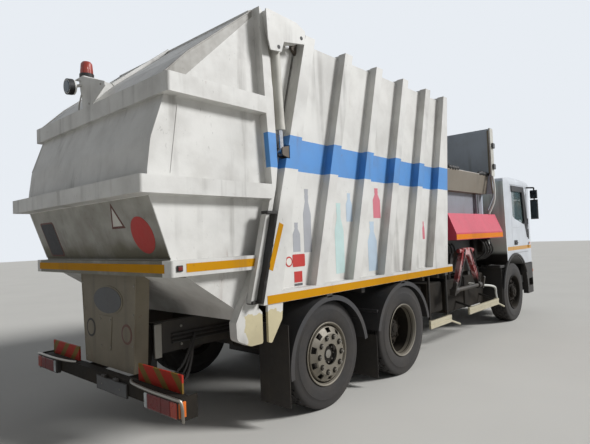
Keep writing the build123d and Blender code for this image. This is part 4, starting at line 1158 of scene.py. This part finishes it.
class TRUCK_OT_lifter_trim(bpy.types.Operator):
    """Hood band, hopper edge trim, hoses, valve block and arm bolts of the loading side"""
    bl_idname = "truck.lifter_trim"
    bl_label = "Lifter trim"

    def execute(self, context):
        size = context.scene.truck_trim.hose_radius
        hood = Piece("hood_orange_band", "chassis", "hood_band")
        hood.box(0.512, 2.408, -1.2525, -1.2495, 1.538, 1.612)
        hood.done("hazard_film")
        edge = Piece("hopper_edge_trim", "chassis", "rubber")
        for k in range(12):
            x = 1.92 + 0.048 * k if k < 8 else 0.76 + 0.09 * (k - 8)
            lump = noise.noise_vector(Vector((k * 1.7, 3.0, 0.0)))
            edge.ball((x, -1.078, 2.618 + lump.z * 0.02), 0.046 + abs(lump.x) * 0.014,
                      (1.3, 0.8, 0.8))
        edge.paint("grey_white").box(0.72, 1.90, -1.101, -1.06, 2.594, 2.606, 0.004)
        edge.box(2.20, 2.34, -1.19, -1.176, 2.58, 3.40, 0.003)
        edge.paint("dirty_beige").box(2.288, 2.301, -1.135, -1.105, 2.62, 3.38, 0.002)
        for z in (3.10, 2.74):
            edge.paint("grey").box(2.24, 2.33, -1.222, -1.19, z - 0.045, z + 0.045, 0.008)
        edge.done()
        hoses = Piece("lifter_hoses", "chassis", "hose")
        for k in range(4):
            x = 0.66 + 0.1 * k
            hoses.hose([(x, -0.93, 1.50), (x + 0.03, -1.0, 1.40), (x + 0.02, -0.99, 1.22),
                        (x - 0.04, -0.97, 1.13 - 0.02 * k)], size)
            x = 1.80 + 0.11 * k
            hoses.hose([(x, -1.00, 1.60), (x - 0.02, -1.13, 1.47), (x + 0.06, -1.14, 1.30),
                        (x + 0.02, -1.02, 1.18)], size * 1.2)
        hoses.hose([(1.975, -0.998, 2.27), (1.972, -1.004, 2.1), (1.976, -1.0, 1.94)], 0.011)
        hoses.paint("pale_hose").hose([(2.235, -1.19, 2.58), (2.25, -1.205, 2.40),
                                       (2.22, -1.20, 2.15), (2.15, -1.13, 1.93)], 0.017)
        hoses.done("flap_rubber")

        # Valve block in black, partly painted shade under the hood
        valves = Piece("lifter_valve_block", "chassis", "soot")
        valves.box(1.70, 2.26, -1.02, -0.962, 1.17, 1.86, 0.012)
        valves.box(1.86, 2.24, -1.10, -1.01, 1.30, 1.52, 0.01)
        valves.box(1.74, 2.06, -1.09, -1.01, 1.58, 1.74, 0.01)
        valves.box(0.47, 0.60, -1.06, -0.962, 1.25, 1.60, 0.012)
        for k in range(4):
            valves.paint("steel").bolt((1.90 + 0.09 * k, -1.10, 1.46), (0, -0.025, 0), 0.016, 8)
        valves.paint("pale_hose").box(2.05, 2.09, -1.14, -1.10, 1.34, 1.50, 0.006)
        valves.hose([(1.64, -0.92, 0.80), (1.72, -1.08, 0.77), (1.90, -1.17, 0.745),
                     (2.06, -1.198, 0.70), (2.085, -1.20, 0.60), (2.09, -1.21, 0.50)], 0.017, 10)
        valves.done("black_plastic")

        arm = Piece("arm_hoses_and_bolts", "arm", "hose")
        x, y = 1.04, -1.15
        for s in BOTH:
            arm.paint("hose").hose([(x + s * 0.10, y - 0.04, 1.38), (x + s * 0.20, y - 0.05, 1.20),
                                    (x + s * 0.33, y - 0.05, 1.0), (x + s * 0.39, y - 0.045, 0.86)],
                                   0.010)
            for off, z in ((0.14, 1.33), (0.24, 1.14), (0.36, 0.93)):
                arm.paint("steel").bolt((x + s * off, y - 0.032, z), (0, -0.01, 0), 0.014)
        arm.done("flap_rubber")
        return {"FINISHED"}


# Chassis

class TRUCK_OT_chassis_trim(bpy.types.Operator):
    """Propeller shafts, brake chambers, boxes, bolts, pipes and tank straps"""
    bl_idname = "truck.chassis_trim"
    bl_label = "Chassis trim"

    def execute(self, context):
        metal = Piece("chassis_running_gear", "chassis", "chassis")
        metal.rod((-0.72, 0, 0.585), (1.30, 0, 0.70), 0.055, 20)
        metal.rod((1.34, 0, 0.70), (2.74, 0, 0.82), 0.055, 20)
        for x, z in ((-0.70, 0.585), (1.32, 0.70014)):
            metal.paint("cast").rod((x - 0.05, 0, z), (x + 0.05, 0, z + 0.015), 0.09, 20)
        # Black boxes under the truck, partly painted shade in place of its shadow
        metal.paint("soot")
        for x0, x1, y0, z0 in ((0.12, 0.58, -0.96, 0.50), (0.70, 1.34, -0.96, 0.44),
                               (1.44, 2.26, -0.93, 0.42), (-3.05, -2.86, -0.93, 0.62)):
            metal.box(x0, x1, y0, -0.47, z0, 0.93, 0.02)
        metal.sides = BOTH
        metal.box(-0.36, 0.06, 0.52, 0.90, 0.52, 0.92, 0.02)
        for x in (TAG_X, DRIVE_X):
            metal.paint("chassis").rod((x + 0.16, 0.60, 0.56), (x + 0.30, 0.60, 0.60), 0.085, 20)
            metal.paint("steel").rod((x + 0.02, 0.60, 0.55), (x + 0.16, 0.60, 0.56), 0.02, 10)
        for k in range(9):
            for z in (0.74, 0.90):
                metal.bolt((-3.6 + 0.85 * k, 0.431, z), (0, 0.011, 0), 0.012)
        metal.done("chassis_paint")

        pipes = Piece("chassis_pipes", "chassis", "hose", BOTH)
        for z in (0.77, 0.805, 0.84):
            pipes.hose([(-3.7, 0.444, z), (-2.4, 0.446, z - 0.005), (-1.0, 0.444, z + 0.004),
                        (0.6, 0.446, z), (2.4, 0.444, z)], 0.010, 6)
        pipes.done("flap_rubber")

        tanks = Piece("tank_straps_and_caps", "chassis", "steel")
        for x in (1.72, 2.16):
            tanks.box(x - 0.02, x + 0.02, 0.474, 1.126, 0.926, 0.936, 0.002)
            tanks.box(x - 0.02, x + 0.02, 1.118, 1.126, 0.52, 0.90, 0.002)
        for z in (0.62, 0.84):
            tanks.box(0.90, 0.94, 1.098, 1.112, z, z + 0.05, 0.003)
        tanks.paint("black").rod((1.95, 0.85, 0.93), (1.95, 0.85, 0.975), 0.05, 20)
        tanks.box(0.78, 1.42, 1.088, 1.10, 0.56, 0.90, 0.006)
        tanks.done("grey_plastic")
        return {"FINISHED"}


# Finishes of the CAD nodes, light and camera

class TRUCK_OT_finishes(bpy.types.Operator):
    """Paints every CAD node"""
    bl_idname = "truck.finishes"
    bl_label = "Paint the CAD nodes"

    def execute(self, context):
        painted = set()
        for name, (slot, nodes) in WEAR.items():
            for node in nodes.split():
                obj = NODES[node]
                obj.data.materials.clear()
                obj.data.materials.append(finish(name))
                painted.add(node)
        left = [n for n, o in NODES.items() if not o.hide_render and n not in painted]
        if left:
            raise RuntimeError("nodes without a finish: " + ", ".join(left))
        return {"FINISHED"}


# The photograph's view: where it was taken from, its turn in degrees, and its lens
VIEW_FROM = (-6.113, -4.120, 1.652)
YAW, PITCH, ROLL = 41.97, 1.86, -2.13
SENSOR, LENS, FAR = 36, 29.25, 300


def photo_view():
    """Camera at the photograph's view."""
    yaw, pitch, roll = radians(YAW), radians(PITCH), radians(ROLL)
    ahead = Vector((cos(pitch) * cos(yaw), cos(pitch) * sin(yaw), sin(pitch)))
    right = Vector((sin(yaw), -cos(yaw), 0))
    up = right.cross(ahead)
    across = cos(roll) * right + sin(roll) * up
    upright = -sin(roll) * right + cos(roll) * up
    lens_data = bpy.data.cameras.new("photo_view")
    lens_data.sensor_width, lens_data.lens, lens_data.clip_end = SENSOR, LENS, FAR
    eye = bpy.data.objects.new("photo_view", lens_data)
    turn = Matrix((across, upright, -ahead)).transposed().to_4x4()
    eye.matrix_world = Matrix.Translation(VIEW_FROM) @ turn
    bpy.context.scene.collection.objects.link(eye)
    bpy.context.scene.camera = eye


def soft_sky(strength):
    """World light of a low strength, seen pale by the camera and in reflections and glass."""
    world = bpy.data.worlds.new("studio_world")
    bpy.context.scene.world = world
    world.use_nodes = True
    sky = Graph(world.node_tree)
    back = sky.tree.nodes["Background"]
    sky.feed(back.inputs["Color"], srgb(236, 240, 246))
    sky.feed(back.inputs["Strength"], strength)
    camera, glossy, through = (sky.add("LightPath", {}, {}, out=f"Is {ray} Ray")
                               for ray in ("Camera", "Glossy", "Transmission"))
    seen = camera.math("MAXIMUM", glossy).math("MAXIMUM", through)
    pale = sky.add("Background", {}, {"Color": srgb(232, 237, 243)})
    both = sky.add("MixShader", {}, {0: seen, 1: Value(sky, back.outputs[0]), 2: pale})
    sky.feed(sky.tree.nodes["World Output"].inputs["Surface"], both)


class TRUCK_OT_studio(bpy.types.Operator):
    """Pale floor and backdrop, soft light and the camera at the photograph's view"""
    bl_idname = "truck.studio"
    bl_label = "Studio"

    def execute(self, context):
        light = context.scene.truck_light
        floor = bmesh.new()
        bmesh.ops.create_grid(floor, x_segments=1, y_segments=1, size=60)
        mesh = bpy.data.meshes.new("studio_floor")
        floor.to_mesh(mesh)
        floor.free()
        ground = bpy.data.objects.new("studio_floor", mesh)
        pale = Finish("studio_floor")
        pale.set(base_color=pale.mix(srgb(226, 224, 218), srgb(216, 214, 208), pale.noise(0.6, 2)),
                 roughness=0.9)
        mesh.materials.append(pale.material)

        key = bpy.data.lights.new("studio_key", "SUN")
        key.energy, key.angle = light.key, radians(14)
        lamp = bpy.data.objects.new("studio_key", key)
        lamp.rotation_euler = Vector((0.64, -0.85, 0.62)).to_track_quat("Z", "Y").to_euler()
        for thing in (ground, lamp):
            context.scene.collection.objects.link(thing)
        soft_sky(light.fill)
        photo_view()
        context.scene.view_settings.view_transform = "Standard"
        return {"FINISHED"}


class TRUCK_PT_panel(bpy.types.Panel):
    """Sidebar panel with every step and setting"""
    bl_label = "Refuse truck"
    bl_space_type = "VIEW_3D"
    bl_region_type = "UI"
    bl_category = "Refuse truck"

    def draw(self, context):
        for operator in OPERATORS:
            self.layout.operator(operator.bl_idname)
        for name, group in GROUPS.items():
            box = self.layout.box()
            box.label(text=group.__doc__)
            for key in group.__annotations__:
                box.prop(getattr(context.scene, name), key)


OPERATORS = (TRUCK_OT_wheels, TRUCK_OT_tailgate_trim, TRUCK_OT_rear_trim, TRUCK_OT_body_trim,
             TRUCK_OT_cab_trim, TRUCK_OT_lifter_trim, TRUCK_OT_chassis_trim, TRUCK_OT_finishes,
             TRUCK_OT_studio)
GROUPS = {"truck_paint": PaintSettings, "truck_wheels": WheelSettings, "truck_trim": TrimSettings,
          "truck_light": LightSettings}


def register():
    for cls in (*GROUPS.values(), *OPERATORS, TRUCK_PT_panel):
        bpy.utils.register_class(cls)
    for name, group in GROUPS.items():
        setattr(bpy.types.Scene, name, PointerProperty(type=group))


def unregister():
    for name in GROUPS:
        delattr(bpy.types.Scene, name)
    for cls in reversed((*GROUPS.values(), *OPERATORS, TRUCK_PT_panel)):
        bpy.utils.unregister_class(cls)


def main():
    """Register, then build everything in order."""
    register()
    for operator in OPERATORS:
        group, name = operator.bl_idname.split(".")
        getattr(getattr(bpy.ops, group), name)()


if __name__ == "__main__":
    main()
